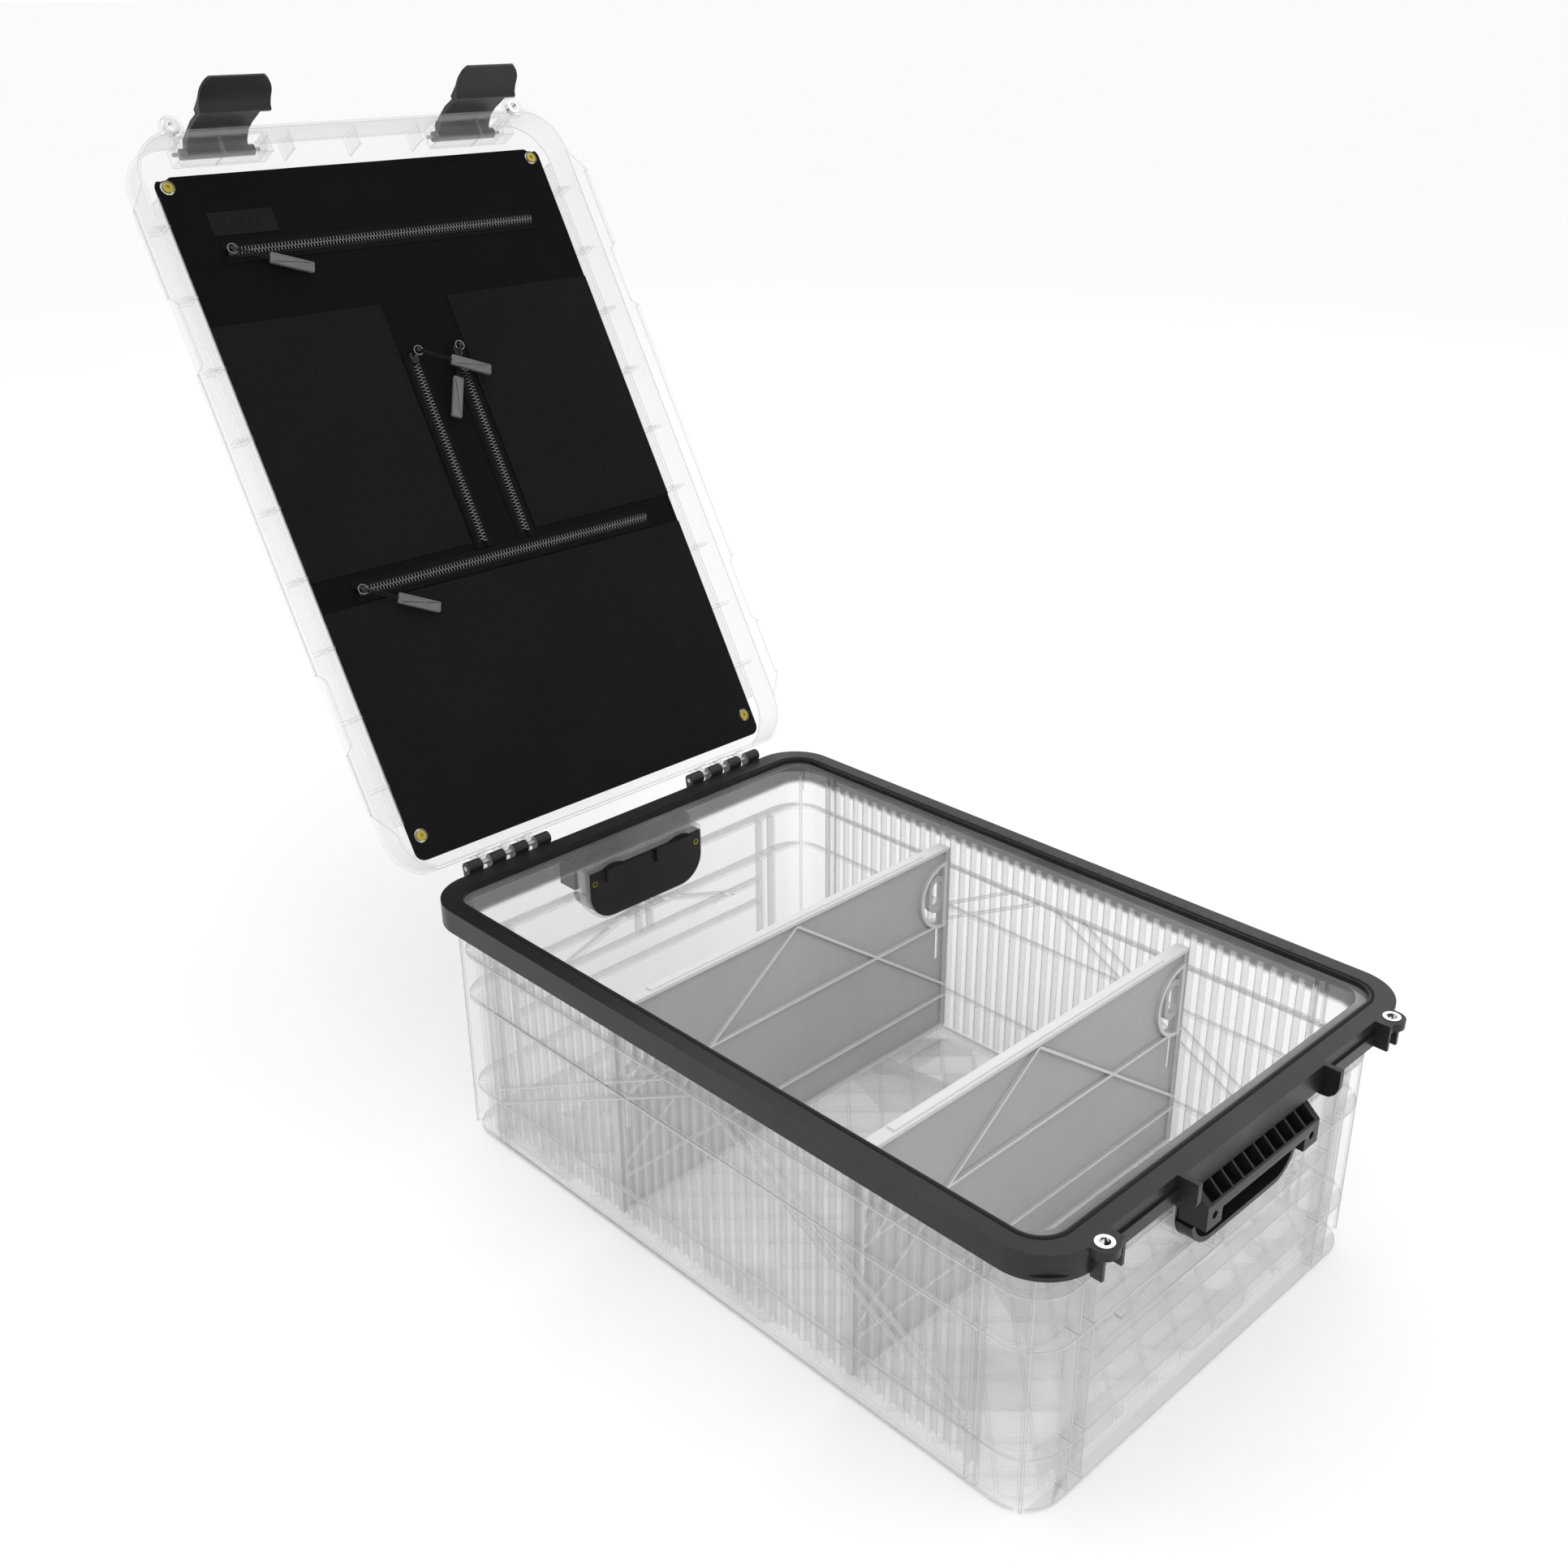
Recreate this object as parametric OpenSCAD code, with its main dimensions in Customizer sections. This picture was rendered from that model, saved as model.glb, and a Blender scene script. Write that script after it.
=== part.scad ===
// Attached lid tote: a clear stacking container with a black rim, two lift-out
// dividers and a hinged clear lid that carries a fabric organiser.
// Origin: centre of the base, on the ground. +X points to the latch side, +Z up.
// The lid is drawn closed and then swung back about its hinge by lid_open.

/* [Container] */
// Length over the rim
box_l = 600; // [580:5:620]
// Width over the rim
box_w = 400; // [390:5:410]
// Height of the rim's top face above the ground
rim_top = 207; // [200:1:215]
// Thickness of the clear walls and floor
wall = 2.5; // [2:0.5:3]
// Inset of the wall's outer face from the rim's outer face, at the short sides
inset_x = 24; // [22:1:26]
// Inset of the wall's outer face from the rim's outer face, at the long sides
inset_y = 17; // [16:1:18]
// Reach of the horizontal rib rings beyond the wall, at the short sides
ring_reach_x = 10.5; // [9:0.5:11]
// Reach of the horizontal rib rings beyond the wall, at the long sides
ring_reach_y = 4.5; // [3:0.5:5]

/* [Rim] */
// Height of the rim's outer face
rim_h = 18.5; // [17:0.5:20]
// Width of the rim's top face at the long sides
rim_band_y = 15.6; // [15:0.2:16]
// Width of the rim's top face at the short sides
rim_band_x = 18.6; // [18:0.2:19]
// Outer corner radius of the rim
rim_r = 38; // [34:1:42]

/* [Divider slots] */
// Distance between neighbouring divider slots
pitch = 11.05; // [11:0.05:11.1]
// Number of rail ribs on each long wall
rail_count = 44; // [40:2:44]
// Slot in which the rear divider stands, counted from the middle
rear_slot = -9; // [-12:1:-3]
// Slot in which the front divider stands, counted from the middle
front_slot = 12; // [3:1:12]

/* [Lid] */
// Angle by which the lid is open, with its hinge against its stop
lid_open = 120; // [90:5:120]
// Height of the lid's top above the rim
lid_h = 31; // [30:0.5:34]
// Reach of the lid's side wings beyond the rim
wing = 13.8; // [10:0.2:14]

/* [Organiser] */
// Length of the organiser panel
panel_l = 559; // [550:1:560]
// Width of the organiser panel
panel_w = 362; // [350:1:362]

/* [Hidden] */
$fn = 48;
eps = 0.01;
gap = 0.3;
clear_plastic = [0.90, 0.93, 0.95, 0.35];
grey_plastic = [0.70, 0.71, 0.72, 0.75];
black_plastic = [0.08, 0.08, 0.08];
black_fabric = [0.05, 0.05, 0.05];

// Container, worked out from the driving dimensions
half_l = box_l / 2;
half_w = box_w / 2;
wall_x = half_l - inset_x;
wall_y = half_w - inset_y;
wall_r = 22;
rim_in_x = half_l - rim_band_x;
rim_in_y = half_w - rim_band_y;
rim_in_r = 20;
rim_plate = 4;
rim_skirt = 3;
floor_z = 7.2;
floor_top = floor_z + wall;
ring_t = 2.5;
ring_heights = [0, 39.5, 122, 161];
rail_w = 5;
rail_h = 2.6;
rail_top = rim_top - 12.5;
flange_drop = 0.3;

// Corner ribs and rib pairs, as distances from the middle
side_rib_x = [-243, -235.4, 235.4, 243];
end_rib_y = [-149.5, -135.4, 135.4, 149.5];
// Heights of the two bars below a handle, and of the ribs' tops
end_bar_z = [78, 100];
rib_top = 200;

// Seal groove in the rim's top face
groove_w = 2;
groove_d = 1.6;
groove_inset = 1.4;

// Hinge: axis behind the rear edge, a little above the rim
hinge_x = -half_l - 4.5;
hinge_z = rim_top + 3;
knuckle_r = 4.9;
pin_r = 2;
pin_gap = 0.05;
hinge_y0 = 76;
knuckle_w = 13;
lid_knuckle_w = 8.4;
knuckle_step = 22;

// Front of the rim: eyelet lobes, latch recesses and brackets
eyelet_x = half_l + 3;
eyelet_y = 159.3;
eyelet_r = 6;
eyelet_bore = 3.4;
recess_y0 = 81.6;
recess_y1 = 147.1;
fin_t = 4;

// Handles
grip_screw_y = 54.6;
grip_screw_z = rim_top - 37.3;
cup_x = 286;
cup_half = 60;
cup_top = rim_top - 27;
cup_bottom = rim_top - 72;
cup_r = 24;
cup_back = wall_x - wall;
cup_tab_y = [-44, 9];
cup_tab_w = 40;
recess_depth = 2.4;
recess_h = 9;

// Dividers
divider_half = wall_y - wall - 0.6;
divider_z0 = floor_top + gap;
divider_top = rim_top - 21.5;

// Lid, with heights measured from the rim's top
lid_rear = -297.4;
lid_front = half_l;
lid_z0 = rim_top + 1.4;
lid_z1 = rim_top + lid_h;
latch_x = 293;
latch_z = rim_top + 28;
latch_y0 = 81.9;
latch_y1 = 148.5;
latch_r = 4.4;
latch_pin_r = 1.6;
pocket_x = 285;
pocket_z = rim_top + 13;
lug_y1 = 157;
front_rib_step = 60.5;
side_rib_step = 56.9;

// Organiser, drawn closed: its face looks down into the container
panel_x0 = -287;
panel_x1 = panel_x0 + panel_l;
panel_r = 8;
board_z = rim_top + 22.5;
board_t = 2.5;
cover_z = rim_top + 20;
cover_t = 2.5;
pocket_face = rim_top + 17.2;
boss_rear = -267.7;
boss_front = 264;
boss_y = 171.8;
post_out_r = 5.6;
post_hole_r = 5.9;
screw_z = rim_top + 19;
zip_w = 15;
teeth_w = 5.2;
zip_z = rim_top + 17.6;
slider_z = rim_top + 14.6;

// Ends of the four zips on the closed lid, as (x, y)
top_a = [208, -144];
top_b = [208, 146];
bottom_a = [-72.5, -146];
bottom_b = [-72.5, 147];
left_a = [105, -21];
left_b = [-60, -21];
right_a = [105, 22];
right_b = [-60, 22];

// Zip pulls: the left one hangs over the right one, so it lies lower
pull_z = rim_top + 10.4;
pull_z_low = rim_top + 6.6;
post_r = 1.5;
pull_ring_r = 3.6;
cord_t = 1.8;
cord_len = 30;
tag_l = 36;
tag_w = 8.6;
tag_t = 2.6;
turn_top = 110.5;
turn_bottom = 117;
turn_left = 114;
turn_right = 206;

// A flat plate with rounded corners, centred on the origin
module rounded_plate(l, w, r, t) {
    linear_extrude(t) rounded_outline(l, w, r);
}

module rounded_outline(l, w, r) {
    square([l - 2 * r, w], center = true);
    square([l, w - 2 * r], center = true);
    for (x = [-1, 1], y = [-1, 1])
        translate([x * (l / 2 - r), y * (w / 2 - r)]) circle(r);
}

// A ring between two rounded outlines that share a centre
module rounded_ring(l, w, r, band_x, band_y, inner_r, t) {
    difference() {
        rounded_plate(l, w, r, t);
        translate([0, 0, -1])
            rounded_plate(l - 2 * band_x, w - 2 * band_y, inner_r, t + 2);
    }
}

// Puts its children at +Y and, mirrored, at -Y
module both_sides() {
    children();
    mirror([0, 1, 0]) children();
}

// A bar between two points of a plane, extruded to thickness t
module bar(a, b, w, t) {
    d = b - a;
    translate([a[0], a[1], 0])
        rotate([0, 0, atan2(d[1], d[0])])
            translate([0, -w / 2, 0]) cube([norm(d), w, t]);
}

// Swings a closed lid's pieces to the open angle about the hinge
module on_lid() {
    translate([hinge_x, 0, hinge_z])
        rotate([0, -lid_open, 0])
            translate([-hinge_x, 0, -hinge_z]) children();
}

// ---- Container ----

module rails() {
    first = -(rail_count - 1) / 2 * pitch;
    inner = wall_y - wall;
    comb = [
        for (i = [0 : rail_count - 1])
            for (p = [[-1, 0], [-1, 1], [1, 1], [1, 0]])
                [first + i * pitch + p[0] * rail_w / 2, inner - p[1] * rail_h]
    ];
    back = [[-first + pitch, inner], [-first + pitch, inner + 1], [first - pitch, inner + 1], [first - pitch, inner]];
    both_sides()
        translate([0, 0, floor_top - eps])
            linear_extrude(rail_top - floor_top) polygon(concat(comb, back));
}

module floor_lattice() {
    step = 38;
    bar_w = 2;
    linear_extrude(floor_z + eps)
        intersection() {
            rounded_outline(2 * wall_x - 7, 2 * wall_y - 7, wall_r - 3.5);
            union() {
                for (i = [-12 : 12], a = [-45, 45])
                    translate([i * step, 0]) rotate(a) square([bar_w, 700], center = true);
            }
        }
    // Pad under the middle of the floor
    cylinder(r = 14, h = floor_z + eps);
}

module end_wall_ribs() {
    depth = ring_reach_x - 1;
    for (y = end_rib_y)
        translate([wall_x - eps, y - 1, ring_t - eps]) cube([depth, 2, 161 - ring_t + 2 * eps]);
    for (z = end_bar_z)
        translate([wall_x - eps, -135.4, z]) cube([depth, 270.8, 2]);
    // Double rib and diagonal braces below the handle
    for (y = [-6, 6])
        translate([wall_x - eps, y - 1, 102 - eps]) cube([depth, 2, cup_bottom - 103]);
    translate([wall_x - eps, 0, 0])
        rotate([90, 0, 90])
            both_sides_2d() bar([6, cup_bottom - 4], [100, 101], 3, depth - 4);
}

// Inverted V of paired braces on each long wall
module side_braces() {
    reach = ring_reach_y - 0.5;
    both_sides()
        translate([0, wall_y - eps + reach, 0])
            rotate([90, 0, 0])
                linear_extrude(reach)
                    both_sides_2d() {
                        rib_strip([9, 161], [235, 40.5]);
                        rib_strip([36, 161], [235, 54]);
                    }
}

module both_sides_2d() {
    children();
    mirror([1, 0, 0]) children();
}

module handle_collar(solid) {
    reach = cup_x + 0.5 - wall_x;
    grow = solid ? wall : 0;
    start = solid ? wall_x - wall : wall_x - wall - 1;
    length = solid ? reach + wall : reach + wall + 4;
    translate([start, 0, 0])
        rotate([90, 0, 90])
            linear_extrude(length) cup_outline(grow);
}

// The D shape of a handle opening: straight top, rounded lower corners
module cup_outline(grow) {
    half = cup_half + grow;
    low = cup_bottom - grow;
    r = cup_r + grow;
    translate([-half, low + r]) square([2 * half, cup_top + grow - low - r]);
    translate([-half + r, low]) square([2 * half - 2 * r, cup_top + grow - low]);
    for (s = [-1, 1]) translate([s * (half - r), low + r]) circle(r);
}

module tub_wall_shell() {
    difference() {
        union() {
            rounded_plate(2 * wall_x, 2 * wall_y, wall_r, rim_top - rim_plate);
            for (z = ring_heights)
                translate([0, 0, z])
                    rounded_plate(2 * (wall_x + ring_reach_x), 2 * (wall_y + ring_reach_y), 30, ring_t);
            // Top flange that carries the rim
            translate([0, 0, rim_top - rim_plate - wall])
                rounded_plate(2 * (half_l - rim_skirt - flange_drop), 2 * (half_w - rim_skirt - flange_drop), 34, wall);
        }
        translate([0, 0, floor_top])
            rounded_plate(2 * (wall_x - wall), 2 * (wall_y - wall), wall_r - wall, rim_top);
        // Below the floor only the foot ring and the lattice remain
        translate([0, 0, -1])
            rounded_plate(2 * (wall_x - 4), 2 * (wall_y - 4), wall_r - 4, floor_z + 1);
    }
}

module tub() {
    color(clear_plastic)
        difference() {
            union() {
                tub_wall_shell();
                rails();
                floor_lattice();
                for (x = side_rib_x)
                    both_sides()
                        translate([x - 1, wall_y - eps, ring_t - eps]) cube([2, ring_reach_y - 0.5, rib_top - ring_t]);
                side_braces();
                end_wall_ribs();
                mirror([1, 0, 0]) end_wall_ribs();
                handle_collar(true);
                mirror([1, 0, 0]) handle_collar(true);
                // Corner ribs
                for (sx = [-1, 1], sy = [-1, 1])
                    translate([sx * (wall_x - 7.2), sy * (wall_y - 7.2), 0])
                        rotate([0, 0, sx * sy * 45])
                            translate([sx > 0 ? 0 : -12, -1, ring_t - eps]) cube([12, 2, rib_top - ring_t]);
            }
            handle_collar(false);
            mirror([1, 0, 0]) handle_collar(false);
        }
}

module rim_lobe() {
    translate([eyelet_x, eyelet_y, rim_top - 6]) cylinder(r = 9.2, h = 6);
    translate([half_l - 2, eyelet_y - 12.2, rim_top - 6]) cube([6, 21.4, 6]);
    translate([half_l - 2, recess_y1, rim_top - 6]) cube([10.6, 6, 6]);
    // Wall beside the recess and the two ears under the lobe
    translate([half_l - 2, recess_y1, rim_top - 19]) cube([10.6, 2.5, 19]);
    translate([half_l - 1, eyelet_y + 3.5, rim_top - 22]) cube([8, 2.5, 17]);
}

module rim_bracket() {
    translate([half_l - 2, recess_y0 - fin_t, rim_top])
        rotate([-90, 0, 0])
            linear_extrude(fin_t) polygon([[0, 0], [14, 0], [14, 13], [12, 18], [8, 21.4], [4, 22], [0, 22]]);
}

// Black knuckles of one hinge, from hinge_y0 outward
module rim_knuckles() {
    for (i = [0 : 3])
        translate([0, hinge_y0 + i * knuckle_step, 0]) {
            translate([hinge_x, 0, hinge_z]) rotate([-90, 0, 0]) cylinder(r = knuckle_r, h = knuckle_w);
            translate([0, knuckle_w, 0])
                rotate([90, 0, 0])
                    linear_extrude(knuckle_w)
                        polygon([
                            [hinge_x - knuckle_r, hinge_z], [hinge_x - 3, rim_top - 9],
                            [-half_l + 2, rim_top - 14], [-half_l + 2, rim_top - 1.5], [hinge_x + 3.4, rim_top + 0.4]
                        ]);
        }
}

module rim_body() {
    // Top plate
    translate([0, 0, rim_top - rim_plate])
        rounded_ring(box_l, box_w, rim_r, rim_band_x, rim_band_y, rim_in_r, rim_plate);
    // Outer skirt
    translate([0, 0, rim_top - rim_h])
        rounded_ring(box_l, box_w, rim_r, rim_skirt, rim_skirt, rim_r - rim_skirt, rim_h - rim_plate + eps);
}

// Shallow oval recess in the rim's side at a front corner
module corner_recess() {
    translate([half_l - rim_r, half_w - rim_r, rim_top - 12.5])
        rotate([0, 0, 45]) {
            translate([rim_r - 1.8, -9, -3]) cube([6, 18, 6]);
            for (y = [-9, 9]) translate([rim_r - 1.8, y, 0]) rotate([0, 90, 0]) cylinder(r = 3, h = 6);
        }
}

module rim_frame() {
    color(black_plastic)
        difference() {
            union() {
                difference() {
                    rim_body();
                    // Latch recesses, set back from the front face
                    both_sides()
                        translate([half_l - recess_depth, recess_y0, rim_top - recess_h])
                            cube([5, recess_y1 - recess_y0, 20]);
                }
                both_sides() {
                    rim_lobe();
                    rim_bracket();
                    rim_knuckles();
                }
            }
            // Keeper edge under which the latch hooks
            both_sides()
                translate([half_l - 0.6, recess_y0, rim_top - rim_h - 1])
                    cube([5, recess_y1 - recess_y0, rim_h + 2]);
            translate([0, 0, rim_top - groove_d]) seal_ring(groove_w, groove_d + 1);
            both_sides() {
                corner_recess();
                translate([eyelet_x, eyelet_y, rim_top - 7]) cylinder(r = eyelet_r - 0.8, h = 8);
                translate([hinge_x, hinge_y0 - 1, hinge_z]) rotate([-90, 0, 0]) cylinder(r = pin_r, h = 82);
            }
        }
}

module seal_ring(w, t) {
    l = 2 * (rim_in_x + groove_inset + w);
    b = 2 * (rim_in_y + groove_inset + w);
    rounded_ring(l, b, rim_in_r + groove_inset + w, w, w, rim_in_r + groove_inset, t);
}

module rim_seal() {
    color([0.15, 0.15, 0.15])
        translate([0, 0, rim_top - groove_d]) seal_ring(groove_w, groove_d + 0.4);
}

// A flanged metal eyelet that stands on a lobe's face
module eyelet(length) {
    difference() {
        union() {
            cylinder(r = eyelet_r, h = 0.8);
            translate([0, 0, -length]) cylinder(r = eyelet_r - 0.8, h = length + 0.4);
        }
        translate([0, 0, -length - 1]) cylinder(r = eyelet_bore, h = length + 3);
    }
}

module rim_eyelets() {
    color([0.85, 0.85, 0.86])
        both_sides() translate([eyelet_x, eyelet_y, rim_top]) eyelet(6);
}

module hinge_pin() {
    color([0.5, 0.5, 0.5])
        translate([hinge_x, hinge_y0 - 0.5, hinge_z]) rotate([-90, 0, 0]) cylinder(r = pin_r, h = 80);
}

module hinge_pin_right() { hinge_pin(); }

module hinge_pin_left() { mirror([0, 1, 0]) hinge_pin(); }

// ---- Handles, drawn at the front and mirrored for the rear ----

module handle_cup() {
    depth = 12;
    lip = 4;
    side_t = 2;
    color(black_plastic)
        difference() {
            union() {
                // Back plate, flush with the inside of the wall
                cup_layer(cup_back, 2.5, -0.3);
                // Sides that join the plate to the scoop
                difference() {
                    cup_layer(cup_back, cup_x - cup_back, -0.3);
                    cup_layer(cup_back - 1, cup_x - cup_back + 2, -0.3 - side_t);
                }
                // Scoop lip round the lower edge
                difference() {
                    cup_layer(cup_x - eps, depth, -0.3);
                    cup_layer(cup_x - 1, depth + 2, -lip);
                    translate([cup_x - 1, -cup_half - 1, rim_top - 52]) cube([depth + 2, 2 * cup_half + 2, 60]);
                }
                // Posts that carry the grip
                both_sides()
                    translate([cup_back + 1, grip_screw_y, grip_screw_z])
                        rotate([0, 90, 0]) cylinder(r = 4.5, h = cup_x - cup_back + 3);
                // Tabs inside, along the plate's top edge
                for (y = cup_tab_y)
                    translate([cup_back - 3, y, cup_top - 12]) cube([3.5, cup_tab_w, 11.7]);
            }
            both_sides()
                translate([cup_back - 1, grip_screw_y, grip_screw_z])
                    rotate([0, 90, 0]) cylinder(r = 2.6, h = cup_x - cup_back + 8);
        }
}

// A slice of the cup's outline, from x outward
module cup_layer(x, t, grow) {
    translate([x, 0, 0]) rotate([90, 0, 90]) linear_extrude(t) cup_outline(grow);
}

module handle_grip() {
    x0 = cup_x + 4.2;
    top = rim_top - 18.9;
    pocket_count = 10;
    pocket_step = 11.8;
    rib_w = 1.8;
    color(black_plastic)
        difference() {
            union() {
                // Bar with a slanted face
                translate([0, 63, 0])
                    rotate([90, 0, 0])
                        linear_extrude(126)
                            polygon([
                                [x0, top], [298.5, top], [309.5, rim_top - 28.5], [309.5, rim_top - 36], [x0, rim_top - 36]
                            ]);
                // Ears that take the screws
                both_sides()
                    translate([x0, 46.5, rim_top - 46])
                        cube([309.5 - x0, 16.5, 12]);
            }
            // Pockets between the ribs of the slanted face
            for (i = [0 : pocket_count - 1])
                translate([x0 + 1.6, (i - (pocket_count - 1) / 2) * pocket_step - (pocket_step - rib_w) / 2, rim_top - 33])
                    cube([16.4, pocket_step - rib_w, 20]);
            both_sides()
                translate([x0 - 1, grip_screw_y, grip_screw_z]) rotate([0, 90, 0]) cylinder(r = 2.6, h = 30);
        }
}

// Two brass sleeves with a hexagon socket, seen from inside and outside
module handle_screws() {
    color([0.72, 0.58, 0.25])
        both_sides()
            difference() {
                translate([cup_back, grip_screw_y, grip_screw_z])
                    rotate([0, 90, 0]) cylinder(r = 2.6, h = cup_x - cup_back + 19.5);
                translate([cup_back - 1, grip_screw_y, grip_screw_z])
                    rotate([0, 90, 0]) cylinder(r = 1.4, h = cup_x - cup_back + 22);
            }
}

module handle_cup_front() { handle_cup(); }

module handle_cup_rear() { mirror([1, 0, 0]) handle_cup(); }

module handle_grip_front() { handle_grip(); }

module handle_grip_rear() { mirror([1, 0, 0]) handle_grip(); }

module handle_screws_front() { handle_screws(); }

module handle_screws_rear() { mirror([1, 0, 0]) handle_screws(); }

// ---- Dividers ----

// Ribs on one face of a divider, in (width, height) coordinates
module divider_ribs(t) {
    low = [divider_half - 3, 42];
    linear_extrude(t) both_sides_2d() {
        rib_strip([0, 170], low);
        rib_strip([0, 104], [divider_half - 3, 104]);
        rib_strip([0, 32], [divider_half - 3, 32]);
    }
}

module rib_strip(a, b) {
    d = b - a;
    translate(a) rotate(atan2(d[1], d[0])) translate([0, -1.1]) square([norm(d), 2.2]);
}

module divider() {
    height = divider_top - divider_z0;
    hole_z = rim_top - 66 - divider_z0;
    edge = divider_half - 5;
    plate_t = 2.4;
    rib_t = 3;
    full_t = plate_t + 2 * rib_t;
    color(grey_plastic)
        translate([0, 0, divider_z0])
            rotate([90, 0, 90])
                translate([0, 0, -full_t / 2])
                    difference() {
                        union() {
                            translate([-edge, 0, rib_t]) cube([2 * edge, height, plate_t]);
                            divider_ribs(full_t);
                            // Top flange with a raised middle, and bottom flange
                            translate([-edge, height - 3, -1]) cube([2 * edge, 3, full_t + 2]);
                            translate([-edge + 30, height - eps, 1]) cube([2 * edge - 60, 1.5, full_t - 2]);
                            translate([-edge, 0, 0]) cube([2 * edge, 3, full_t]);
                            // End tongues that run in the slots
                            for (s = [-1, 1])
                                translate([s > 0 ? edge - 0.5 : -divider_half, 0, 1.5]) cube([5.5, height - 4, full_t - 3]);
                            // Collars round the finger holes
                            for (s = [-1, 1])
                                translate([s * edge, hole_z, 0])
                                    intersection() {
                                        cylinder(r = 31, h = full_t);
                                        translate([s > 0 ? -32 : 0, -32, 0]) cube([32, 64, full_t]);
                                    }
                        }
                        // Finger holes with a snap ring left inside, and the spring slot below
                        for (s = [-1, 1])
                            translate([s * edge, hole_z, -1]) {
                                finger_hole(s);
                                translate([s > 0 ? -9 : 3, -62, 0]) cube([6, 32, full_t + 2]);
                            }
                    }
}

// D-shaped hole whose straight side faces the wall, less the ring of the snap
module finger_hole(s) {
    difference() {
        intersection() {
            cylinder(r = 28, h = 20);
            translate([s > 0 ? -32 : 3, -32, 0]) cube([29, 64, 20]);
        }
        translate([s * -9, 4, 0]) snap_ring();
    }
}

module snap_ring() {
    difference() {
        union() {
            translate([0, -9, 2]) cylinder(r = 10, h = 5);
            translate([0, 5, 2]) cylinder(r = 10, h = 5);
            translate([-10, -9, 2]) cube([20, 14, 5]);
        }
        translate([0, -8, 0]) cylinder(r = 6, h = 9);
        translate([0, 4, 0]) cylinder(r = 6, h = 9);
        translate([-6, -8, 0]) cube([12, 12, 9]);
    }
}

module divider_rear() { translate([rear_slot * pitch, 0, 0]) divider(); }

module divider_front() { translate([front_slot * pitch, 0, 0]) divider(); }

// ---- Lid, drawn closed ----

// A plate shaped like the lid's outline, cut straight at the hinge side
module lid_plate(inset, t) {
    intersection() {
        rounded_plate(box_l - 2 * inset, box_w - 2 * inset, rim_r - inset, t);
        translate([lid_rear + inset, -half_w, 0]) cube([box_l, box_w, t]);
    }
}

module lid_tray() {
    difference() {
        translate([0, 0, lid_z0]) lid_plate(0, lid_z1 - lid_z0);
        translate([0, 0, lid_z0 - 1]) lid_plate(wall, lid_z1 - lid_z0 - wall + 1);
    }
    // Low stacking ring on top
    translate([0, 0, lid_z1 - eps])
        rounded_ring(box_l - 60, box_w - 40, 24, 3, 3, 21, 1.5);
}

module lid_wings() {
    reach = half_w + wing;
    outline = [
        [-262, half_w - 1], [-241, reach], [-192, reach], [-186, reach - 6], [-134, reach - 6], [-128, reach],
        [112, reach], [118, reach - 6], [166, reach - 6], [172, reach], [241, reach], [262, half_w - 1]
    ];
    both_sides()
        translate([0, 0, lid_z0]) {
            linear_extrude(wall) polygon(outline);
            // Upturned lip on the wings' outer edge
            for (x = [[-241, -192], [-128, 112], [172, 241]])
                translate([x[0], reach - 2, 0]) cube([x[1] - x[0], 2, 5]);
        }
}

module lid_ribs() {
    rib_t = 2;
    z0 = rim_top + 8;
    for (i = [-2 : 2])
        translate([282, i * front_rib_step - rib_t / 2, z0]) cube([lid_front - 283, rib_t, lid_z1 - z0 - 1]);
    both_sides()
        for (i = [-4 : 4])
            translate([4 + i * side_rib_step - rib_t / 2, 184, z0 + 6])
                cube([rib_t, half_w - 185, lid_z1 - z0 - 7]);
    // Inner wall along the organiser's long sides
    both_sides()
        translate([-255, 184, rim_top + 15]) cube([510, 1.8, lid_h - 16]);
}

// Clear posts to which the organiser is screwed
module organiser_posts() {
    for (x = [boss_rear, boss_front], y = [-boss_y, boss_y])
        difference() {
            translate([x, y, screw_z]) cylinder(r = post_out_r, h = lid_z1 - 1 - screw_z);
            translate([x, y, screw_z - 1]) cylinder(r = 4.6, h = 3.5);
            translate([x, y, screw_z]) cylinder(r = 1.6, h = 8);
        }
}

// Space that a latch needs in the lid's front edge
module latch_pocket() {
    translate([pocket_x, latch_y0 - 1.2, pocket_z]) cube([30, latch_y1 - latch_y0 + 1.8, 30]);
}

module latch_pocket_walls() {
    h = lid_z1 - pocket_z + wall;
    // Floor, back and the two lugs that hold the pin
    translate([pocket_x - wall, latch_y0 - 4, pocket_z - wall]) cube([lid_front - pocket_x + wall, lug_y1 - latch_y0 + 4, wall]);
    translate([pocket_x - wall, latch_y0 - 4, pocket_z - wall]) cube([wall, lug_y1 - latch_y0 + 4, h]);
    translate([pocket_x - wall, latch_y0 - 4, pocket_z - wall]) cube([13, 2.8, h]);
    translate([pocket_x - wall, latch_y1 + 0.6, pocket_z - wall]) cube([13, lug_y1 - latch_y1 - 0.6, h]);
}

module lid_eyelet_lug() {
    translate([eyelet_x, eyelet_y, lid_z0]) cylinder(r = 9.2, h = 5.4);
    translate([half_l - 2, eyelet_y - 9, lid_z0]) cube([5, 18, 5.4]);
}

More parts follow.
